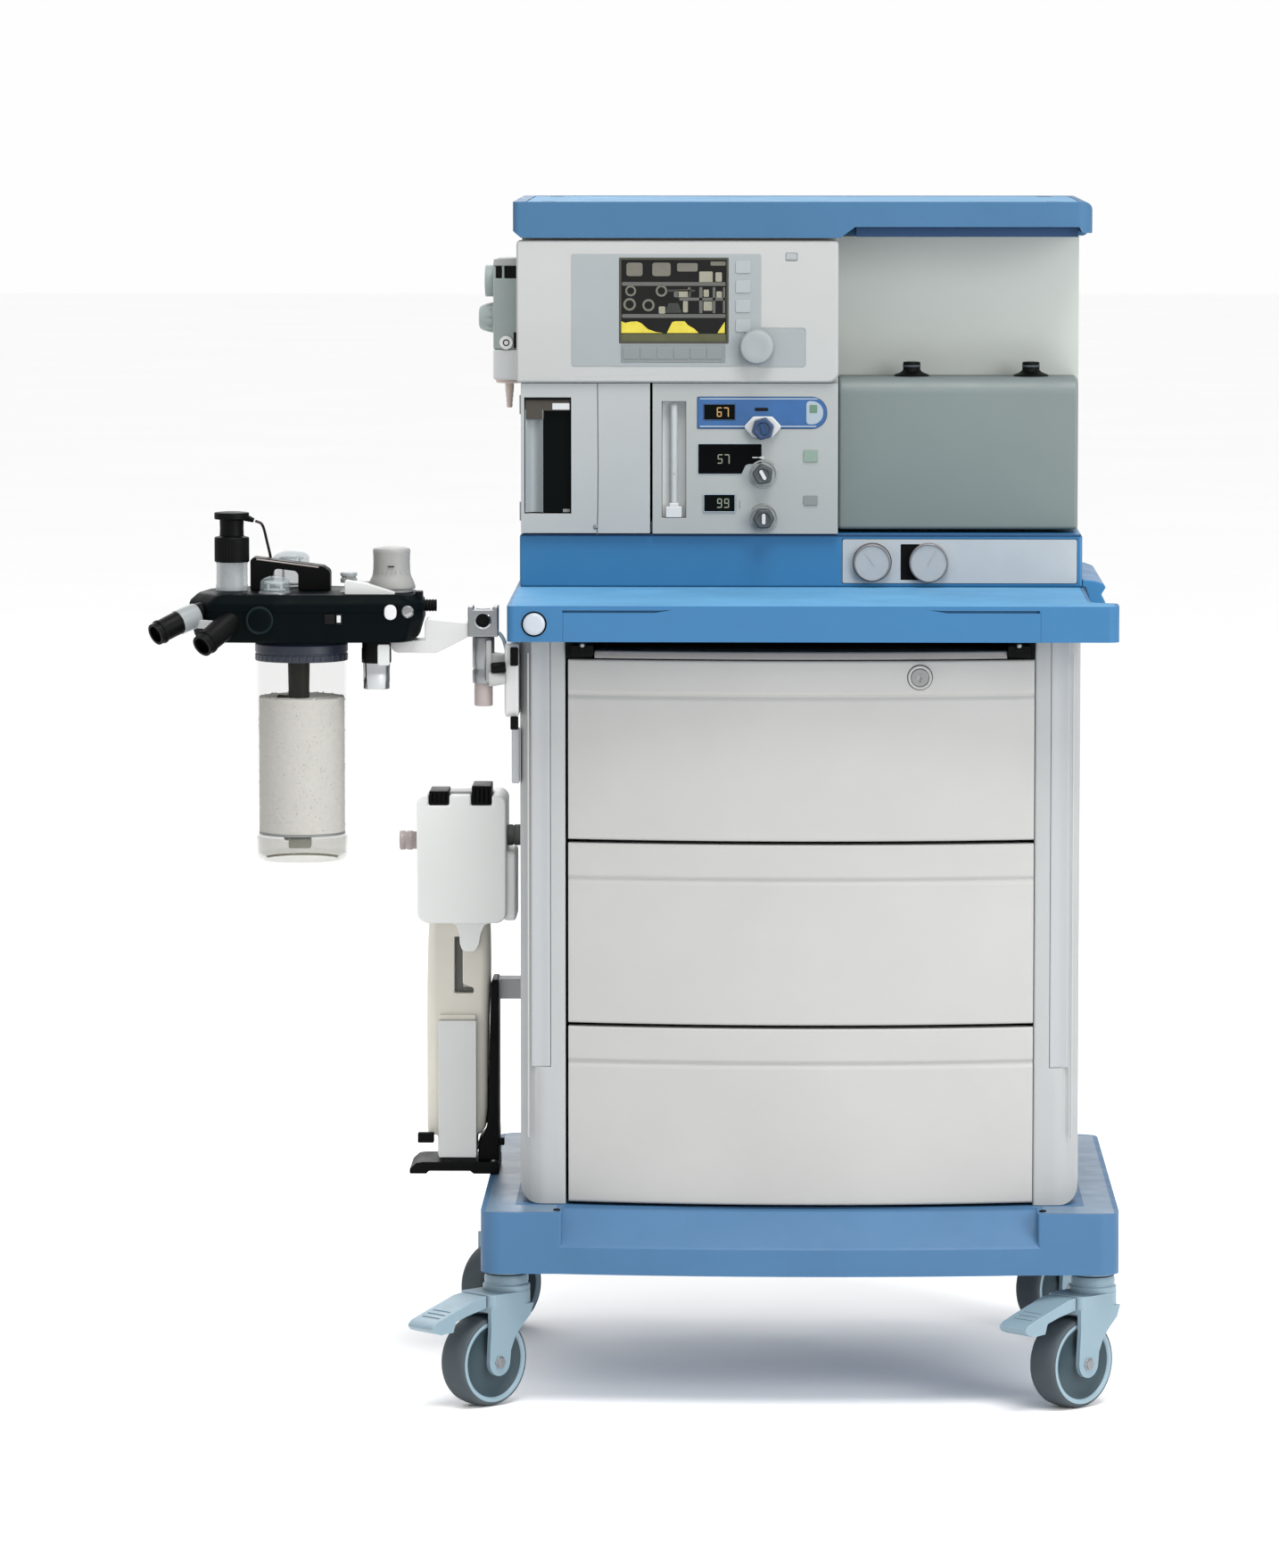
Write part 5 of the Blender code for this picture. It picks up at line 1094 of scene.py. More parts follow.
def make_cap():
    put = partial(add, "cart", "top_cap")
    left, right, front, back, low, high = -0.331, 0.3345, -0.062, 0.33, 1.3117, 1.353
    cap = prism(plate(left, right, front, back, [0.007, 0.018, 0.013, 0.013], 10), "Z", low, high)
    step = 0.0125
    cut = prism([(0.0435, low - 0.001), (0.34, low - 0.001), (0.34, low + 0.005), (0.3225, low + 0.006),
        (0.319, low + step), (0.062, low + step)], "Y", front - 0.01, 0.055)
    corner = prism([(left - 0.001, low - 0.001), (left + 0.0105, low - 0.001), (left - 0.001, low + 0.0085)],
        "Y", front - 0.01, back + 0.01)
    dip = prism(plate(left + 0.014, right - 0.014, front + 0.012, back - 0.014, 0.012, 8), "Z", high - 0.0012,
        high + 0.01)
    end = prism(rounded([(left - 0.01, low - 0.01), (right - 0.0002, low), (right, high),
        (left - 0.01, high)], [0.001, 0.0085, 0.01, 0.001], 8), "Y", front - 0.02, back + 0.02)
    cap = boolean(cap, end, operation="INTERSECT")
    put("cap_shell", boolean(cap, cut, corner, dip), "cap_blue", 0.003, 4, angle=40, stands=True)
    # A thin lighter-blue sheet over the cap's top: painted light, the top shown brighter as if lit from
    # above.
    deck = prism(plate(left + 0.0148, right - 0.0148, front + 0.0128, back - 0.0148, 0.011, 8), "Z",
        high - 0.0013, high - 0.0005)
    put("cap_deck", deck, "cap_top_blue", 0.0003, 2)
    # A navy sheet under the cap's raised edge over the bay: painted shade in the recess under the cap.
    shade = prism([(0.0632, low + 0.0008), (0.3183, low + 0.0008), (0.3183, low + step - 0.0006),
        (0.0632, low + step - 0.0006)], "Y", front + 0.018, 0.0545)
    put("cap_underside", shade, "navy", 0.0006)
    for n, (x, y) in enumerate(mm("-290 -30, 290 -30, -290 290, 290 290")):
        foot = turned(mm("0 0, 9 0, 9.6 0.4, 8.8 1, 0 1.1"), (x, y, high - 0.0012))
        put(f"cap_pad_{n}", foot, "rubber", 0)


def make_aux_unit():
    right, left, y = -0.322, -0.357, 0.065
    put = partial(add, "cart", "aux_flow_unit")
    upper = slab(left, right, 1.1806, 1.2855, 0.03, 0.1, [0.001, 0.001, 0.001, 0.006], 6)
    windows = [box((x0, 0.02, 1.2625), (x1, 0.034, 1.277)) for x0,
        x1 in ((-0.354, -0.3468), (-0.344, -0.3225))]
    put("aux_upper_case", boolean(upper, *windows), "aux_grey", 0.0016, angle=40, stands=True)
    put("aux_slots", joined(*[box((x0 + 0.0002, 0.0318, 1.2627), (x1 - 0.0002, 0.0338, 1.2768)) for x0,
        x1 in ((-0.354, -0.3468), (-0.344, -0.3225))]), "black_matt", 0.0003)
    put("aux_top_band", slab(left + 0.0006, right, 1.2778, 1.2848, 0.0288, 0.0302, 0.001, 3), "case_grey",
        0.0004)
    put("aux_lower_case", box((left - 0.0004, 0.0296, 1.145), (right, 0.1004, 1.18)), "aux_pale", 0.0022)
    middle = (left + right) / 2
    flange = turned(mm("0 1140, 15 1140, 16 1141.2, 16 1144.6, 0 1144.6"), (middle, y, 0), steps=48)
    put("aux_flange", flange, "nozzle_pink", 0.0003)
    nozzle = turned(mm("0 1111.2, 2.6 1111.2, 3.2 1111.8, 3.6 1115, 3.2 1116.2, 4 1120, 3.6 1121.2, "
        "4.6 1125.5, 4.2 1126.8, 5 1131, 5.2 1140.5, 0 1140.5"), (middle, y, 0), steps=40)
    put("aux_nozzle", nozzle, "nozzle_pink", 0)
    cap = turned(mm("0 0, 18.3 0, 18.5 -0.6, 18.5 -9, 17.8 -10.4, 10.5 -11, 0 -11"), (left, y, 1.2588), "X",
        48)
    put("aux_fitting", cap, "aux_grey", 0)
    knob = turned(mm("0 -17.6, 9.2 -17.5, 12.8 -16.2, 15.2 -12.2, 16.8 -6.6, 17.6 -3, 17.8 -0.4, 0 -0.4"),
        (-0.3574, y, 1.216), "X", 64)
    ribs = rod_ring((y, 1.216), 0.0186, 12, -0.4, -0.359, 0.0028, 14, "X")
    add("aux_knob", "aux_flow_knob", "aux_dial", boolean(knob, ribs), "aux_grey", 0, angle=30, stands=True)
    put("aux_dial_band", turned(mm("0 -0.4, 20 -0.4, 20 0.4, 0 0.4"), (left, y, 1.238), "X", 40), "key_white",
        0.0001, 1)
    disc = turned(mm("0 0, 7.8 0, 7.8 -1.6, 7 -2.2, 0 -2.2"), (-0.342, 0.0296, 1.188), "Y", 40)
    put("aux_sight_disc", disc, "housing_white", 0.0002)
    mark = turned(mm("2.6 -2.4, 4 -2.4, 4 -1.8, 2.6 -1.8"), (-0.342, 0.0296, 1.188), "Y", 32, hollow=True)
    put("aux_sight_mark", mark, "black_matt", 0)
    # A black patch beside the sight disc: a painted shadow to the disc's right.
    put("aux_shade", block("-333.5 29 1181.5, -323.2 30.2 1200"), "black_matt", 0.0004)


def make_rear_fittings():
    put = partial(add, "cart", "gas_inlet_block")
    back = 0.3154
    block = slab(0.1, 0.26, 1.02, 1.075, back, back + 0.018, 0.006, 6)
    put("inlet_manifold", block, "brushed", 0.0018, stands=True)
    for n, x in enumerate((0.13, 0.18, 0.23)):
        profile = [(0, 0.017), (0.011, 0.017)]
        for k in range(5):
            at = 0.0205 + 0.0022 * k
            profile += [(0.0103, at), (0.0098, at + 0.0011)]
        profile += mm("9 32, 8.8 34, 6 34.5, 5.6 30, 0 30")
        put(f"inlet_{n}", turned(profile, (x, back, 1.0475), "Y", 48), "chrome", 0, angle=40)
        nut = turned(mm("0 17.6, 12.8 17.6, 12.8 20.6, 0 20.6"), (x, back, 1.0475), "Y", 6)
        put(f"inlet_nut_{n}", nut, "brushed", 0.0005)
        tag = turned(mm("13.4 17.9, 16 17.9, 16 18.6, 13.4 18.6"), (x, back, 1.0475), "Y", 48, hollow=True)
        put(f"inlet_ring_{n}", tag, ("key_white", "ui_yellow_paint", "badge_blue")[n], 0)
    add("cart", "power_inlet", "power_socket_case", skin("power_inlet"), "black", 0.0009, stands=True)


# ---- breathing system -------------------------------------------------------------------------
def make_block():
    put = partial(add, "breathing", "breathing_block")
    corners = mm("-690 -265, -662 -315, -590 -325, -440 -312, -424.5 -280, -424.5 -215, -445 -185, "
        "-540 -140, -620 -140, -680 -200")
    middle = Vector((-0.56, -0.235))

    def ring(height, inset):
        line = []
        for corner in rounded(corners, 0.016, 6):
            away = Vector(corner) - middle
            line.append((*(middle + away * (1 - inset / away.length)), height))
        return line

    rings = [ring(z, inset) for z, inset in mm("864.2 11, 866 8.5, 870 6, 886 1.4, 889 0.2, 906 0.2, "
        "909.5 1.6, 916 9, 917.8 12")]
    body = lofted(rings)
    chamfer = prism(mm("-415 860, -415 883, -442 860"), "Y", -0.34, -0.12)
    seam = [boolean(lofted([ring(z, -0.004) for z in (0.8984, 0.8992)]),
        lofted([ring(z, 0.0012) for z in (0.897, 0.9006)]))]
    pockets = [prism(plate(-0.656, -0.636, -0.3, -0.29, 0.003, 5), "Z", 0.915, 0.92),
        rod((-0.624, -0.296, 0.915), (-0.624, -0.296, 0.92), 0.0048)]
    put("gas_block", boolean(body, chamfer, *seam, *pockets), "block_dark", 0.0011, angle=34, stands=True)
    ports = [("left", mm("-660 -279 896, -676 -291.2 894.5, -695 -305.8 888, -711 -318 880.5, "
        "-722.5 -327 874.5"), [0.0136, 0.0134, 0.0128, 0.0124, 0.0126]), ("front", mm("-623 -288 895, "
        "-633 -301 891.5, -645 -316 883, -658 -331 872, -669 -344 863"),
        [0.015, 0.0146, 0.0136, 0.0124, 0.0128])]
    for side, path, radii in ports:
        points = smooth_route([Vector(p) for p in path], 20)
        sizes = [radii[0] + (radii[-1] - radii[0]) * k / 20 for k in range(21)]
        pipe = tube(points, sizes, 40)
        bore = tube([points[-3], points[-1], points[-1] * 2 - points[-2]], 0.0098, 32)
        put("port_" + side, boolean(pipe, bore), "black", 0.0008, 2, angle=40)
        low = 6 if side == "left" else 2
        sleeve = tube(points[low:low + 6], [sizes[low] + 0.0009] * 6, 40)
        put("port_sleeve_" + side, sleeve, "frosted" if side == "left" else "teal", 0.0008, 2, angle=40)
        ridge = tube(points[-4:-2], [sizes[-3] + 0.0012] * 2, 40)
        put("port_ridge_" + side, ridge, "black", 0.0005, 2, angle=40)
    # A dark teal ring on the black elbow boss: a painted highlight, the boss's teal glint drawn as a ring.
    arc = [(-0.606 + 0.014 * cos(radians(a)), -0.3215 - 0.0026, 0.8905 + 0.014 * sin(radians(a)))
        for a in range(-90, 275, 15)]
    put("elbow_ring", tube(arc, 0.0018, 14), "teal_dark", 0)
    put("elbow_face", turned(mm("0 0, 13.2 0, 12.8 -2.2, 9 -3.4, 0 -3.6"), (-0.606, -0.3235, 0.8905), "Y",
        48), "block_dark", 0)
    strip = slab(-0.679, -0.656, 0.88, 0.8895, -0.312, -0.306, 0.002, 4)
    strip.transform(Matrix.Translation((-0.667, -0.309, 0.885)) @ Matrix.Rotation(radians(-38), 4, "Z")
        @ Matrix.Translation((0.667, 0.309, -0.885)))
    put("port_label", strip, "key_white", 0.0008)
    make_domes()
    oval = slab(-0.4668, -0.453, 0.8905, 0.9075, -0.3175, -0.311, 0.0066, 8)
    oval.transform(Matrix.Translation((-0.46, -0.314, 0)) @ Matrix.Rotation(radians(5), 4, "Z")
        @ Matrix.Translation((0.46, 0.314, 0)))
    put("block_button", oval, "key_white", 0.0014)
    screw("block_screw", (-0.4405, -0.3125, 0.8995), 0.007, "breathing", "breathing_block", material="steel",
        cross=False)
    clip = joined(block("-533.5 -322.5 886.2, -521.5 -317.5 896.8"), block("-520.5 -323.2 885.5, "
        "-513.5 -317 897.8"))
    put("block_clip", clip, "black_matt", 0.001)
    put("block_clip_tab", block("-519.5 -324 888, -515 -322.8 896"), "key_white", 0.0005)
    outlet = [(0, 0), (0.007, 0)]
    for k in range(5):
        outlet += [(0.007, 0.0018 + 0.0034 * k), (0.0062, 0.0026 + 0.0034 * k), (0.0062, 0.0034 + 0.0034 * k),
            (0.007, 0.0042 + 0.0034 * k)]
    outlet += [(0.0064, 0.019), (0, 0.0192)]
    put("block_outlet", turned(outlet, (-0.43, -0.245, 0.902), "X", 40), "black", 0, angle=50)
    post = block("-434 -276 902, -425.5 -256 920")
    put("block_end_post", post, "black", 0.0018)


def make_domes():
    put = partial(add, "breathing", "breathing_block")
    for n, (x, y, radius, top) in enumerate(((-0.591, -0.286, 0.017, 0.938), (-0.58, -0.169, 0.021, 0.96))):
        foot = 0.917
        put(f"valve_seat_{n}", turned([(0, foot - 0.002), (radius + 0.0016, foot - 0.002),
            (radius + 0.0016, foot + 0.002), (radius, foot + 0.0034), (0, foot + 0.0034)], (x, y, 0)),
            "brushed", 0)
        wide, crown = radius - 0.0004, radius * 0.45
        outer = [(wide, foot + 0.003), (wide, top - crown)]
        outer += [(wide * cos(radians(9 * k)), top - crown + crown * sin(radians(9 * k)))
            for k in range(1, 10)]
        cover = turned(outer + [(0, top)], (x, y, 0))
        put(f"valve_dome_{n}", cover, "dome_clear", 0, angle=60)
        disc = turned([(0, foot + 0.0052), (radius * 0.72, foot + 0.0052), (radius * 0.72, foot + 0.006),
            (0, foot + 0.0062)], (x, y, 0))
        put(f"valve_disc_{n}", disc, "key_white", 0)
        reach, lip = radius * 0.62, top - crown
        posts = rod_ring((x, y), reach, 4, foot + 0.003, lip, 0.0009, 12, turn=pi / 4)
        ring = turned([(reach - 0.0011, lip - 0.0011), (reach + 0.0011, lip - 0.0011),
            (reach + 0.0011, lip + 0.0011), (reach - 0.0011, lip + 0.0011)], (x, y, 0), hollow=True)
        put(f"valve_cage_{n}", joined(ring, posts), "key_white", 0)


def make_block_top():
    put = partial(add, "breathing", "breathing_block")
    put_sensor = partial(add, "breathing", "oxygen_sensor")
    foot = 0.9182
    outline = [(-0.6222, foot), (-0.597, foot), (-0.597, 0.943), (-0.568, 0.9395), (-0.568, foot),
        (-0.532, foot), (-0.532, 0.94), (-0.54, 0.9455), (-0.6185, 0.9555), (-0.6222, 0.952)]
    outline = rounded(outline, [0.001, 0.001, 0.006, 0.006, 0.001, 0.001, 0.006, 0.004, 0.004, 0.003], 6)
    add("breathing", "block_handle", "handle_grip", prism(outline, "Y", -0.2368, -0.2052), "black", 0.0026, 4,
        angle=40, stands=True)
    # A pale pink-grey line along the top of the black handle: a painted highlight.
    add("breathing", "block_handle", "handle_painted_highlight", tube(mm("-615 -236.6 953.2, -590 -236.6 950, "
        "-545 -236.6 944.2"), 0.0009, 10), "pink_grey", 0)
    x, y = -0.643, -0.235
    seat = turned([(0.0135, foot), (0.0182, foot), (0.0182, 0.924), (0.0176, 0.925), (0.0176, 0.948),
        (0.0182, 0.949), (0.0182, 0.9502), (0.0135, 0.9502)], (x, y, 0), hollow=True)
    put_sensor("sensor_seat", seat, "frosted", 0, stands=True)
    stem = turned([(0, foot + 0.0005), (0.012, foot + 0.0005), (0.012, 0.9502), (0, 0.9502)], (x, y, 0))
    put_sensor("sensor_stem", stem, "tube_white", 0)
    knurl = mm("0 950.3, 19 950.3, 19.7 951.2, 19.7 977.2, 19 978.4, 15 979.4, 13.7 980.2, 13.4 988, "
        "13.7 997.6, 15 998.3, 19.2 998.6, 19.7 999.4, 19.7 1005.2, 19 1006.2, 12 1007, 0 1007.2")
    body = turned(knurl, (x, y, 0), steps=72)
    grooves = rod_ring((x, y), 0.0203, 36, 0.953, 0.9755, 0.001)
    put_sensor("sensor_body", boolean(body, grooves), "black", 0, angle=30)
    gland = mm("0 4.6, 2 4.4, 5 3.8, 8 4, 8.2 3.4, 10.8 3.6, 11 3, 13.5 3.2, 13.7 2.6, 15.8 2.7")
    start, stop = Vector((x + 0.01, y, 1.002)), Vector((x + 0.0255, y, 0.997))
    along = (stop - start).normalized()
    relief = tube([start + along * reach for reach, _ in gland], [size for _, size in gland], 28)
    put_sensor("sensor_gland", relief, "black", 0)
    x, y = -0.4615, -0.25
    apl = mm("0 921.4, 26.4 921.4, 26.8 922.6, 26.6 924.4, 25.2 929, 23.6 932.6, 22.2 935.2, 21.4 938, "
        "20.8 944, 20.6 952, 20.8 960, 21.2 963.6, 20.9 965.6, 19.8 967, 15 968.2, 8 969, 0 969")
    knob = turned(apl, (x, y, 0), steps=96)
    ribs = rod_ring((x, y), 0.0218, 24, 0.9385, 0.962, 0.0012)
    add("apl", "apl_knob", "apl_dial", boolean(knob, ribs), "apl_grey", 0, stands=True)
    pointer = box((x - 0.0032, y - 0.0222, 0.9468), (x + 0.004, y - 0.0195, 0.948))
    add("apl", "apl_knob", "apl_pointer", pointer, "black_matt", 0.0003)
    put("apl_collar", turned(mm("0 917.8, 23.5 917.8, 24 919, 23.6 920.7, 0 920.7"), (x, y, 0)), "strip_grey",
        0)
    slope = lofted([round_ring(-0.502, -0.25, 0.0185, 0.9175), round_ring(-0.5, -0.25, 0.0165, 0.9215),
        round_ring(-0.4975, -0.25, 0.0115, 0.929), round_ring(-0.4965, -0.25, 0.0085, 0.93)])
    put("test_port_collar", slope, "strip_grey", 0.0006, 2, angle=50)
    guard = rounded(mm("-512 917.4, -456 917.4, -456 920, -486 929.5, -512 934"),
        [0.0008, 0.0008, 0.0012, 0.006, 0.002], 6)
    put("apl_guard", prism(guard, "Y", -0.296, -0.28), "white")
    port = turned(mm("0 928, 9 928, 9.4 929, 9.4 933, 8 934, 8 935.2, 9.5 936, 9.5 938.8, 8.6 939.8, 0 940"),
        (-0.51, -0.25, 0), steps=56)
    put("test_port", port, "key_pale", 0, angle=40)
    lens = turned(mm("0 0, 4.2 0, 4.6 -0.8, 3.4 -2.2, 0 -2.6"), (-0.508, -0.2592, 0.933), "Y", 36)
    put("test_port_lens", lens, "tag_grey", 0)
    socket = turned(mm("0 917, 5.6 917, 5.6 919, 4.5 920, 4.5 924.8, 4 925.8, 0 926"), (-0.601, -0.196, 0),
        steps=36)
    put("cable_socket", socket, "brushed", 0)


def round_ring(x, y, radius, z, steps=48):
    """A circle of points at one height, for lofted."""
    return [(x + radius * cos(2 * pi * k / steps), y + radius * sin(2 * pi * k / steps), z)
        for k in range(steps)]


def make_bag_port():
    put = partial(add, "breathing", "bag_port")
    x, y = -0.4771, -0.285
    pipe = turned(mm("11.8 811, 14.5 811, 15 811.6, 14.8 818, 15.2 819, 15 830, 15.5 839.8, 15.5 842, "
        "11.8 842"), (x, y, 0), steps=72, hollow=True)
    put("bag_cone", pipe, "chrome", 0, angle=50, stands=True)
    put("bag_cone_inside", turned(mm("0 824, 11.7 824, 11.7 840, 0 840"), (x, y, 0)), "black_matt", 0)
    collar = turned(mm("0 840.2, 16 840.2, 16.7 841.2, 16.7 856, 16.2 857, 16.2 863.2, 0 863.6"), (x, y, 0),
        steps=64)
    put("bag_collar", collar, "black", 0)
    tab = slab(x + 0.002, x + 0.0155, 0.838, 0.862, y - 0.0176, y - 0.013, 0.0022, 5)
    put("bag_tab", tab, "key_white")


def make_canister():
    x, y = -0.5637, -0.25
    low, radius = 0.614, 0.0512
    put = partial(add, "canister", "absorber_canister")
    wall = 0.0022
    shell = turned([(radius - 0.008, low), (radius - 0.003, low + 0.0006), (radius - 0.0006, low + 0.003),
        (radius, low + 0.007), (radius, 0.84), (radius - wall, 0.84), (radius - wall, low + 0.008),
        (radius - 0.008, low + 0.0026)], (x, y, 0), steps=96, hollow=True)
    put("canister_wall", shell, "canister_clear", 0, angle=50, stands=True)
    floor = turned([(0, low + 0.0004), (radius - 0.0082, low + 0.0004), (radius - 0.0082, low + 0.0024),
        (0, low + 0.0024)], (x, y, 0), steps=96)
    put("canister_floor", floor, "canister_clear", 0)
    tray = turned([(0, 0.6435), (radius - wall - 0.0004, 0.6435), (radius - wall - 0.0004, 0.6462),
        (0, 0.6462)], (x, y, 0), steps=96)
    edge = turned([(radius - 0.012, low + 0.0001), (radius - 0.003, low + 0.0006),
        (radius + 0.0002, low + 0.007), (radius + 0.0002, 0.6388), (radius - wall, 0.6388),
        (radius - wall, low + 0.008), (radius - 0.011, low + 0.0032)], (x, y, 0), steps=96, hollow=True)
    put("canister_foot_edge", edge, "clear_edge", 0, angle=50)
    hoop = turned([(radius + 0.0001, 0.6392), (radius + 0.0004, 0.6402), (radius + 0.0001, 0.6412),
        (radius - wall, 0.6412), (radius - wall, 0.6392)], (x, y, 0), steps=96, hollow=True)
    put("canister_hoop", hoop, "clear_edge", 0, angle=50)
    put("canister_screen", tray, "tag_grey", 0)
    fill_radius = radius - wall - 0.0008
    fill = turned([(0, 0.6464), (fill_radius, 0.6464), (fill_radius, 0.7985), (fill_radius * 0.9, 0.8),
        (0, 0.801)], (x, y, 0), steps=96)
    put("absorbent_core", fill, "granules", 0)
    put("absorbent_grains", grains(x, y, fill_radius - 0.0008, 0.648, 0.7995, 1500), "granules", 0, angle=80)
    tube_shape = turned(mm("0 787, 11.8 787, 12.2 788, 11.8 810, 12.4 840.4, 0 840.4"),
        (x - 0.0012, y - 0.03, 0))
    put("canister_tube", tube_shape, "tube_dark", 0)
    flap = prism(rounded([(x - 0.027, 0.7975), (x - 0.012, 0.7925), (x - 0.012, 0.803), (x - 0.025, 0.8035)],
        0.002, 4), "Y", y - 0.034, y - 0.026)
    put("canister_tube_tab", flap, "tube_dark", 0.001)
    collar = turned([(0, 0.8402), (radius - 0.004, 0.8402), (radius + 0.0008, 0.8406),
        (radius + 0.0012, 0.8416), (radius + 0.0012, 0.848), (radius + 0.0004, 0.8488),
        (radius + 0.0004, 0.85), (radius + 0.0012, 0.8508), (radius + 0.0012, 0.859), (radius, 0.8606),
        (radius - 0.003, 0.8636), (0, 0.8636)], (x, y, 0), steps=96)
    notches = rod_ring((x, y), radius + 0.0026, 40, 0.8415, 0.8485, 0.0022, 10)
    put("canister_collar", boolean(collar, notches), "collar_dark", 0, angle=30)
    drain = joined(box((x - 0.015, y - 0.012, 0.627), (x + 0.01, y + 0.012, 0.64)),
        box((x - 0.0205, y - 0.008, 0.636), (x + 0.01, y + 0.008, 0.643)))
    put("canister_drain", drain, "tag_grey", 0.0022)


def grains(x, y, radius, low, high, count):
    """A packed skin of small absorbent pellets."""
    draw = random.Random(17)
    whole = bmesh.new()
    rows = 30
    per_row = count // rows
    for row in range(rows):
        for k in range(per_row):
            angle = 2 * pi * (k + 0.5 * (row % 2) + draw.uniform(-0.25, 0.25)) / per_row
            height = low + (high - low) * (row + draw.uniform(0.2, 0.8)) / rows
            size = draw.uniform(0.0021, 0.0029)
            place = Matrix.Translation((x + (radius - 0.0012) * cos(angle),
                y + (radius - 0.0012) * sin(angle), height))
            spin = Matrix.Rotation(draw.uniform(0, pi), 4,
                Vector((draw.uniform(-1, 1), draw.uniform(-1, 1), 1)).normalized())
            stretch = Matrix.Diagonal((size, size * 0.8, size * 1.25, 1))
            bmesh.ops.create_icosphere(whole, subdivisions=1, radius=1.0, matrix=place @ spin @ stretch)
    return whole


def make_arm():
    put = partial(add, "breathing", "breathing_arm")
    x, y = PIVOT_X, PIVOT_Y
    profile = rounded(mm("-462.5 849.5, -410 849.5, -374 868, -374 883, -423.5 888, -423.5 863.6, "
        "-462.5 863.6"), [0.01, 0.012, 0.001, 0.001, 0.004, 0.001, 0.001], 8)
    put("arm_beam", prism(profile, "Y", y - 0.0138, y + 0.0298), "white", 0.0034, 4, angle=40, stands=True)
    head = box((x - 0.017, y - 0.017, 0.8678), (x + 0.017, y + 0.017, 0.902))
    ears = [box((x - 0.011, y - 0.03, 0.8985), (x + 0.011, y + 0.03, 0.91)),
        rod((x, y, 0.86), (x, y, 0.92), 0.008), rod((x, y - 0.018, 0.8862), (x, y - 0.008, 0.8862), 0.0076)]
    put("arm_head", boolean(head, *ears), "brushed", 0.0014, angle=40)
    put("arm_head_bore", turned(mm("0 0, 7.4 0, 7.4 4, 0 4"), (x, y - 0.0125, 0.8862), "Y", 40), "black_matt",
        0)
    ring = turned(mm("7.6 -0.4, 8.4 -1.2, 9.4 -0.8, 9.6 0.6, 7.6 0.6"), (x, y - 0.017, 0.8862), "Y", 48,
        hollow=True)
    put("arm_head_ring", ring, "chrome", 0)


def make_pivot():
    x, y = PIVOT_X, PIVOT_Y
    put = partial(add, "cart", "pivot_bracket")
    post = turned(mm("0 814.6, 11.8 814.6, 12.5 815.6, 12.5 829, 11.7 830, 11.7 831.6, 12.5 832.6, "
        "12.5 865.5, 11.8 866.8, 7.6 867, 7.5 899, 0 899.5"), (x, y, 0), steps=64)
    put("pivot_post", post, "brushed", 0, angle=40, stands=True)
    tail = turned(mm("0 788.8, 9.6 788.8, 10.4 789.8, 10.4 814.4, 0 814.4"), (x, y, 0), steps=48)
    put("pivot_tail", tail, "pink_grey", 0)
    strip = slab(x + 0.0035, x + 0.0095, 0.8165, 0.864, y - 0.0135, y - 0.01, 0.002, 5)
    put("pivot_strip", strip, "case_grey", 0.0008)
    mount = joined(prism(rounded([(x + 0.004, 0.82), (-0.3325, 0.824), (-0.3325, 0.847), (x + 0.004, 0.85)],
        0.003, 5), "Y", y - 0.0108, y + 0.0108))
    put("pivot_lug", mount, "case_grey", 0.002)
    outline = plate(y - 0.025, y + 0.03, 0.7775, 0.8608, [0.01, 0.01, 0.006, 0.006], 8)
    put("pivot_plate", prism(outline, "X", -0.3335, -0.3176), "white", 0.003, 4)
    for n, (low, high) in enumerate(((0.836, 0.857), (0.764, 0.779))):
        clip = box((-0.3268, y - 0.03, low), (-0.3178, y - 0.0235, high))
        put(f"pivot_clip_{n}", clip, "black", 0.0014)
    peg = turned(mm("0 0, 5.6 0, 6.2 1, 6.2 15, 5 16.5, 0 16.8"), (0, 0, 0), steps=36)
    peg.transform(Matrix.Translation((-0.332, y - 0.0285, 0.835)) @ Matrix.Rotation(radians(-96), 4, "Y"))
    put("pivot_peg", peg, "black", 0)
    cone = turned(mm("0 0, 6.2 0, 8.5 12, 9 18, 0 18"), (0, 0, 0), steps=36)
    cone.transform(Matrix.Translation((-0.3325, y - 0.025, 0.8215)) @ Matrix.Rotation(radians(-90), 4, "Y"))
    put("pivot_cone", cone, "case_grey", 0)
    arc = [(x + 0.015 + 0.012 * sin(radians(a)), y - 0.006, 0.87 - 0.03 + 0.032 * cos(radians(a)))
        for a in range(0, 121, 8)]
    put("pivot_guard", tube(arc, 0.0022, 14), "cast_grey", 0)
    put("side_channel", slab(-0.3262, -0.3176, 0.701, 0.763, y - 0.006, y + 0.016, 0.0014, 4), "strip_grey")


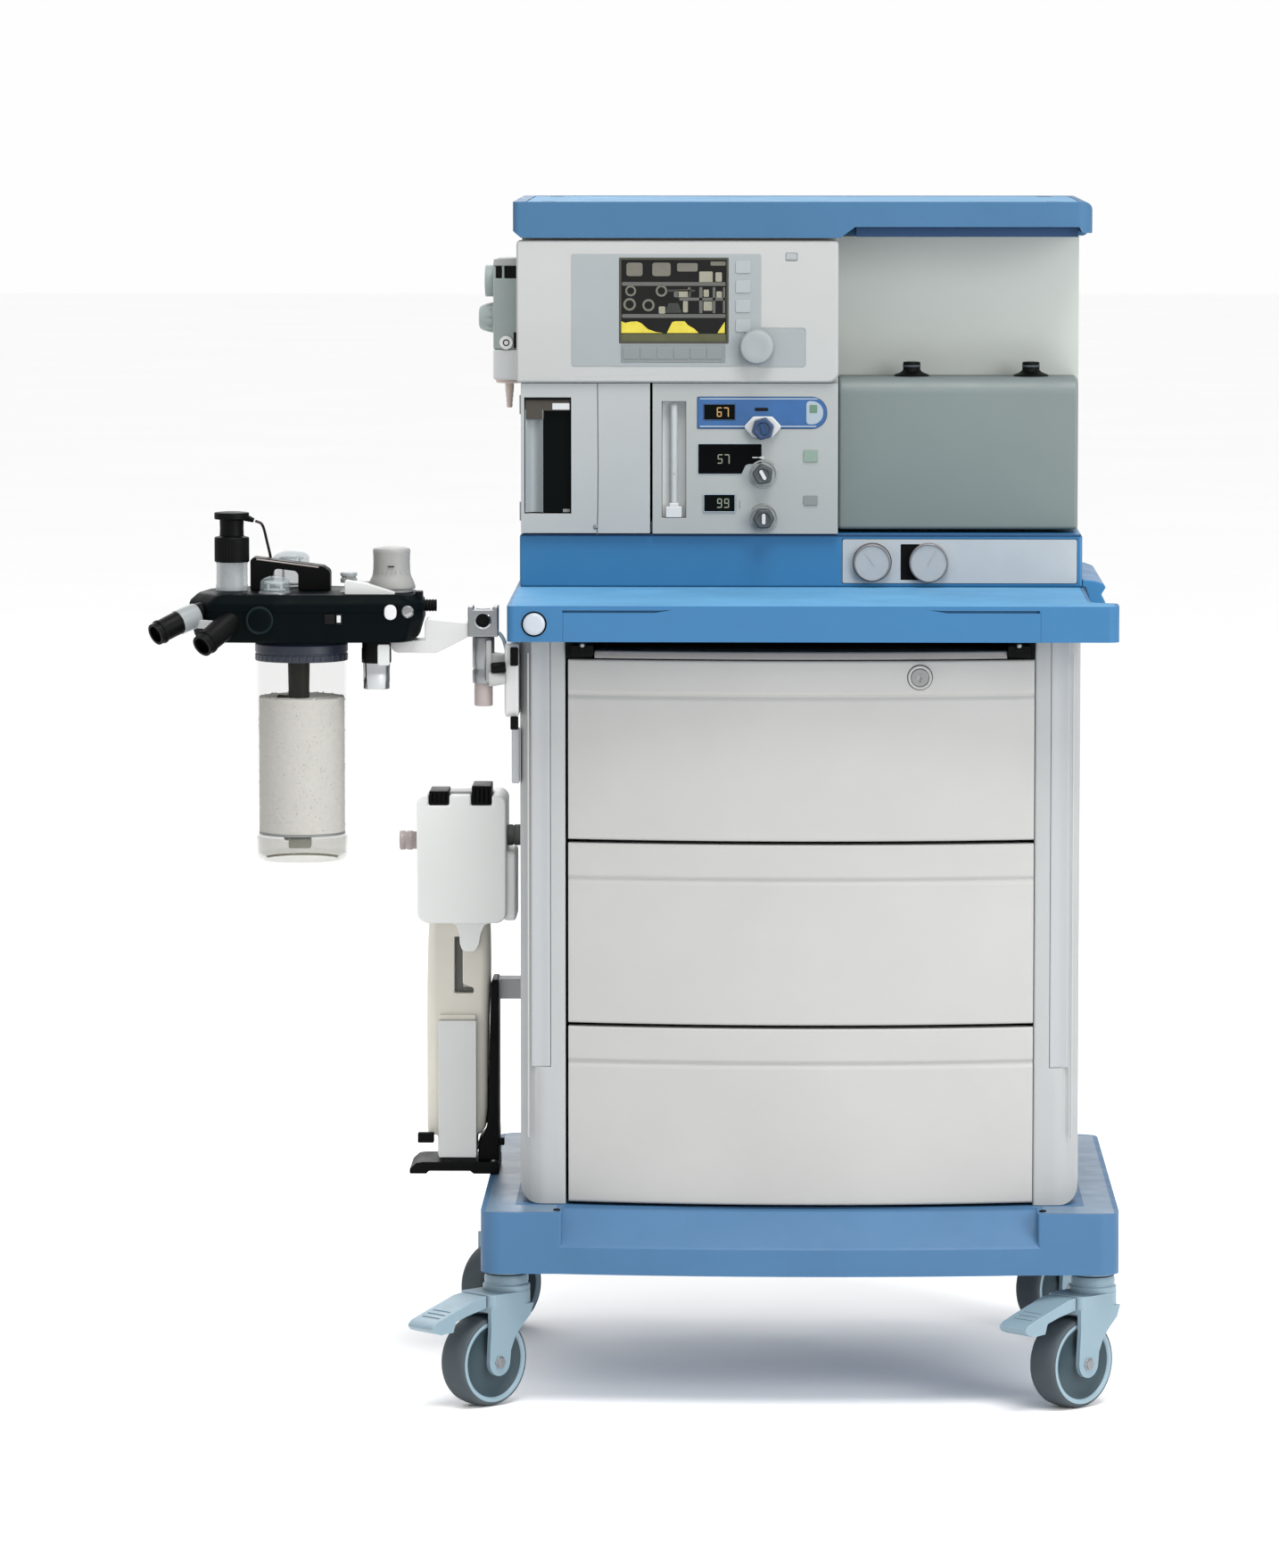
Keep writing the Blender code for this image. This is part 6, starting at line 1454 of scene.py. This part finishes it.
# ---- scavenger --------------------------------------------------------------------------------
def make_scavenger():
    put = partial(add, "cart", "scavenger_housing")
    left, right, low, high = -0.444, -0.34, 0.5178, 0.6673
    shell = slab(left, right, low, high, -0.05, 0.05, [0.013, 0.013, 0.011, 0.011], 10)
    wells = [box((x - 0.012, -0.06, 0.6555), (x + 0.012, 0.016, 0.67)) for x in (-0.4182, -0.3688)]
    put("scavenger_case", boolean(shell, *wells), "housing_white", 0.0046, 4, angle=40, stands=True)
    cheek = prism(plate(-0.044, 0.044, low + 0.002, 0.601, 0.01, 8), "X", right - 0.004, right + 0.011)
    put("scavenger_cheek", cheek, "housing_white", 0.004, 4)
    for side, x, top in (("left", -0.4182, 0.6725), ("right", -0.3688, 0.6788)):
        cap = slab(x - 0.0112, x + 0.0112, 0.6562, top - 0.0006, -0.0485, 0.012, 0.0014, 4)
        slots = [box((x - 0.0078 + 0.0052 * k, -0.05, 0.6585),
            (x - 0.0064 + 0.0052 * k, -0.0472, top - 0.003)) for k in range(4)]
        put("scavenger_cap_" + side, boolean(cap, *slots), "black")
    put("scavenger_bridge", block("-406.6 -30 665.5, -380 6 670.2"), "case_grey")
    port = mm("0 0, 10 0, 11.4 1, 11.4 6, 10.6 6.8, 10.6 8.2, 11.4 9, 11.4 14.5, 10.4 16, 10.4 24, 0 24")
    put("scavenger_port_left", turned(port, (-0.466, 0.0, 0.61), "X", 48), "pink_grey", 0, angle=50)
    put("scavenger_port_right", turned([(r * 1.08, h) for r, h in port[:-2]]
        + [(0.0112, 0.0165), (0, 0.0165)], (-0.3405, 0.0, 0.6165), "X", 48), "tag_grey", 0, angle=50)
    spout = prism(rounded(mm("-410 526, -408 518.6, -398.5 515, -395 505, -394.5 493, -391.5 484.2, "
        "-376.5 484.2, -372 493, -370 505, -365.5 515, -358 518.6, -356 526"), [0.001, 0.002, 0.005, 0.006,
        0.006, 0.006, 0.006, 0.006, 0.006, 0.005, 0.002, 0.001], 6), "Y", -0.04, -0.027)
    put("scavenger_spout", spout, "housing_white", 0.003, 4, angle=45)
    put = partial(add, "cart", "scavenger_chamber")
    left_tube = turned(mm("0 462, 17 462, 18.4 464, 18.4 517.6, 0 517.6"), (-0.414, 0.003, 0), steps=64)
    right_tube = turned(mm("0 456, 18 456, 19 458, 19 517.6, 0 517.6"), (-0.38, 0.003, 0), steps=64)
    put("chamber_tube_left", left_tube, "beige", 0)
    put("chamber_tube_right", right_tube, "beige", 0)
    low = 0.2426
    rows = mm("242.6 -421.5 -376, 266 -421.5 -375.8, 269 -433 -370, 276 -433.8 -365.5, 300 -433.8 -363.2, "
        "400 -433.8 -362.2, 445 -433.6 -360.5, 470 -433 -360.3, 500 -432.2 -360.6, 517.2 -431 -361.2")
    body = lofted([[(a, b, z) for a, b in plate(x0, x1, -0.0295, 0.0355, 0.0105, 8)] for z, x0, x1 in rows])
    slot = prism(mm("-401 434, -379 434, -379 440, -391.8 445, -391.8 500, -401 500"), "Y", -0.06, -0.018)
    put("chamber_body", boolean(body, slot), "beige", 0.0016, angle=40, stands=True)
    put("chamber_slot_liner", joined(block("-400.8 -20 435, -392 -17.6 499"), block("-392.2 -19.8 434.4, "
        "-379.4 -17.8 439.8")), "slot_grey", 0.0006)
    panel = slab(-0.4198, -0.3757, low, 0.4028, -0.0398, -0.028, [0.002, 0.002, 0.0008, 0.0008], 4)
    put("chamber_panel", panel, "panel_grey", 0.001)
    lip = slab(-0.4192, -0.3763, 0.403, 0.409, -0.0345, -0.0285, 0.001, 3)
    put("chamber_panel_lip", lip, "beige", 0.0008)
    node = "scavenger_stand"
    put = partial(add, "cart", node)
    foot = mm("-453.5 224, -434 224, -431 227.2, -383 227.2, -379 224, -349.5 224, -349.5 237.8, -438 237.8, "
        "-446 236.6, -453.5 229.6")
    put("stand_foot", prism(rounded(foot, [0.0014, 0.001, 0.002, 0.002, 0.001, 0.0014, 0.001, 0.001, 0.003,
        0.002], 4), "Y", -0.0448, 0.0448), "black", 0.0013, angle=30, stands=True)
    strap = []
    for z, x0, x1 in mm("237.6 -374.2 -349.7, 260 -373.8 -349.7, 268 -367.2 -349.7, 278 -364 -350, "
            "300 -362.2 -350.2, 340 -361.2 -350, 410 -359.8 -349.9, 446 -358.8 -350, 449.8 -357.4 -351.2"):
        strap.append([(x0, -0.0298, z), (x1, -0.0298, z), (x1, 0.0298, z), (x0, 0.0298, z)])
    put("stand_strap", lofted(strap), "black", angle=40)
    put("stand_bracket", slab(-0.3515, -0.3176, 0.4262, 0.4493, -0.0198, 0.0198, 0.0025, 4), "column_grey",
        0.0014)
    put("stand_tab_left", block("-444 -44 260, -425 -33 272"), "black", 0.0016)
    put("stand_tab_right", block("-350 -30 255.6, -343.5 -20 264"), "black")
    for n, y in enumerate((-0.036, 0.036)):
        screw(f"stand_screw_{n}", (-0.356, y, 0.2378), 0.0038, "cart", node, "Z", 1)


# ---- stage ------------------------------------------------------------------------------------
def make_stage():
    bpy.ops.mesh.primitive_plane_add(size=80.0, location=(0, 0, 0))
    floor = bpy.context.object
    floor.name = "floor"
    material = bpy.data.materials.new("floor")
    material.use_nodes = True
    graph = Graph(material)
    shader = material.node_tree.nodes["Principled BSDF"]
    tone = graph.mix(graph.remap(graph.noise(1.2, 3.0), 0.3, 0.7, 0.0, 1.0), (0.95, 0.95, 0.95),
        (0.97, 0.97, 0.97))
    graph.links.new(tone, shader.inputs["Base Color"])
    graph.links.new(graph.remap(graph.noise(6.0), 0.3, 0.7, 0.55, 0.7), shader.inputs["Roughness"])
    floor.data.materials.append(material)
    world = bpy.data.worlds.new("studio")
    world.use_nodes = True
    world.node_tree.nodes["Background"].inputs["Color"].default_value = (1.0, 1.0, 1.0, 1.0)
    world.node_tree.nodes["Background"].inputs["Strength"].default_value = 0.99
    bpy.context.scene.world = world
    for name, place, size, power in (("key", (2.8, -3.4, 2.0), 2.2, 120.0),
            ("fill", (-3.6, -2.8, 1.6), 2.4, 3.0), ("top", (0.8, -2.6, 6.6), 3.0, 420.0),
            ("back", (-1.5, 4.2, 3.0), 3.0, 60.0)):
        data = bpy.data.lights.new(name, "AREA")
        data.energy = power
        data.size = size
        lamp = bpy.data.objects.new(name, data)
        lamp.location = Vector(place) + ORIGIN
        aim = Vector((0, 0, 0.75)) - Vector(place)
        lamp.rotation_euler = aim.to_track_quat("-Z", "Y").to_euler()
        bpy.context.scene.collection.objects.link(lamp)


def make_cable():
    route = smooth_route([point + ORIGIN for point in CABLE_POINTS], 36)
    curve = bpy.data.curves.new("sensor_lead", "CURVE")
    curve.dimensions = "3D"
    curve.bevel_depth = CABLE_RADIUS
    curve.bevel_resolution = 5
    curve.use_fill_caps = True
    spline = curve.splines.new("POLY")
    spline.points.add(len(route) - 1)
    for knot, point in zip(spline.points, route):
        knot.co = (*point, 1.0)
    spline.use_smooth = True
    lead = bpy.data.objects.new("sensor_lead", curve)
    bpy.context.scene.collection.objects.link(lead)
    curve.materials.append(MATERIALS["cable_jacket"])
    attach(lead, "breathing")
    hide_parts("sensor_cable")


make_materials()
make_camera()
make_cable()
make_stage()
make_base()
for name, x, y, braked in (("front_left", -CASTER_X, CASTER_FRONT, True),
        ("front_right", CASTER_X, CASTER_FRONT, True), ("back_left", -CASTER_X, CASTER_BACK, False),
        ("back_right", CASTER_X, CASTER_BACK, False)):
    make_caster(name, x, y, braked)
make_columns()
for level, floor, height in (("bottom", 0.2262, 0.2008), ("middle", 0.431, 0.2045), ("top", 0.6395, 0.204)):
    make_drawer(level, floor, height)
make_lock()
make_tray()
make_worktop()
make_riser()
make_casings()
make_monitor()
make_door()
make_flow_panel()
make_bay()
make_cap()
make_aux_unit()
make_rear_fittings()
make_block()
make_block_top()
make_bag_port()
make_canister()
make_arm()
make_pivot()
make_scavenger()
bpy.context.scene.view_settings.view_transform = "Standard"
bpy.context.view_layer.update()
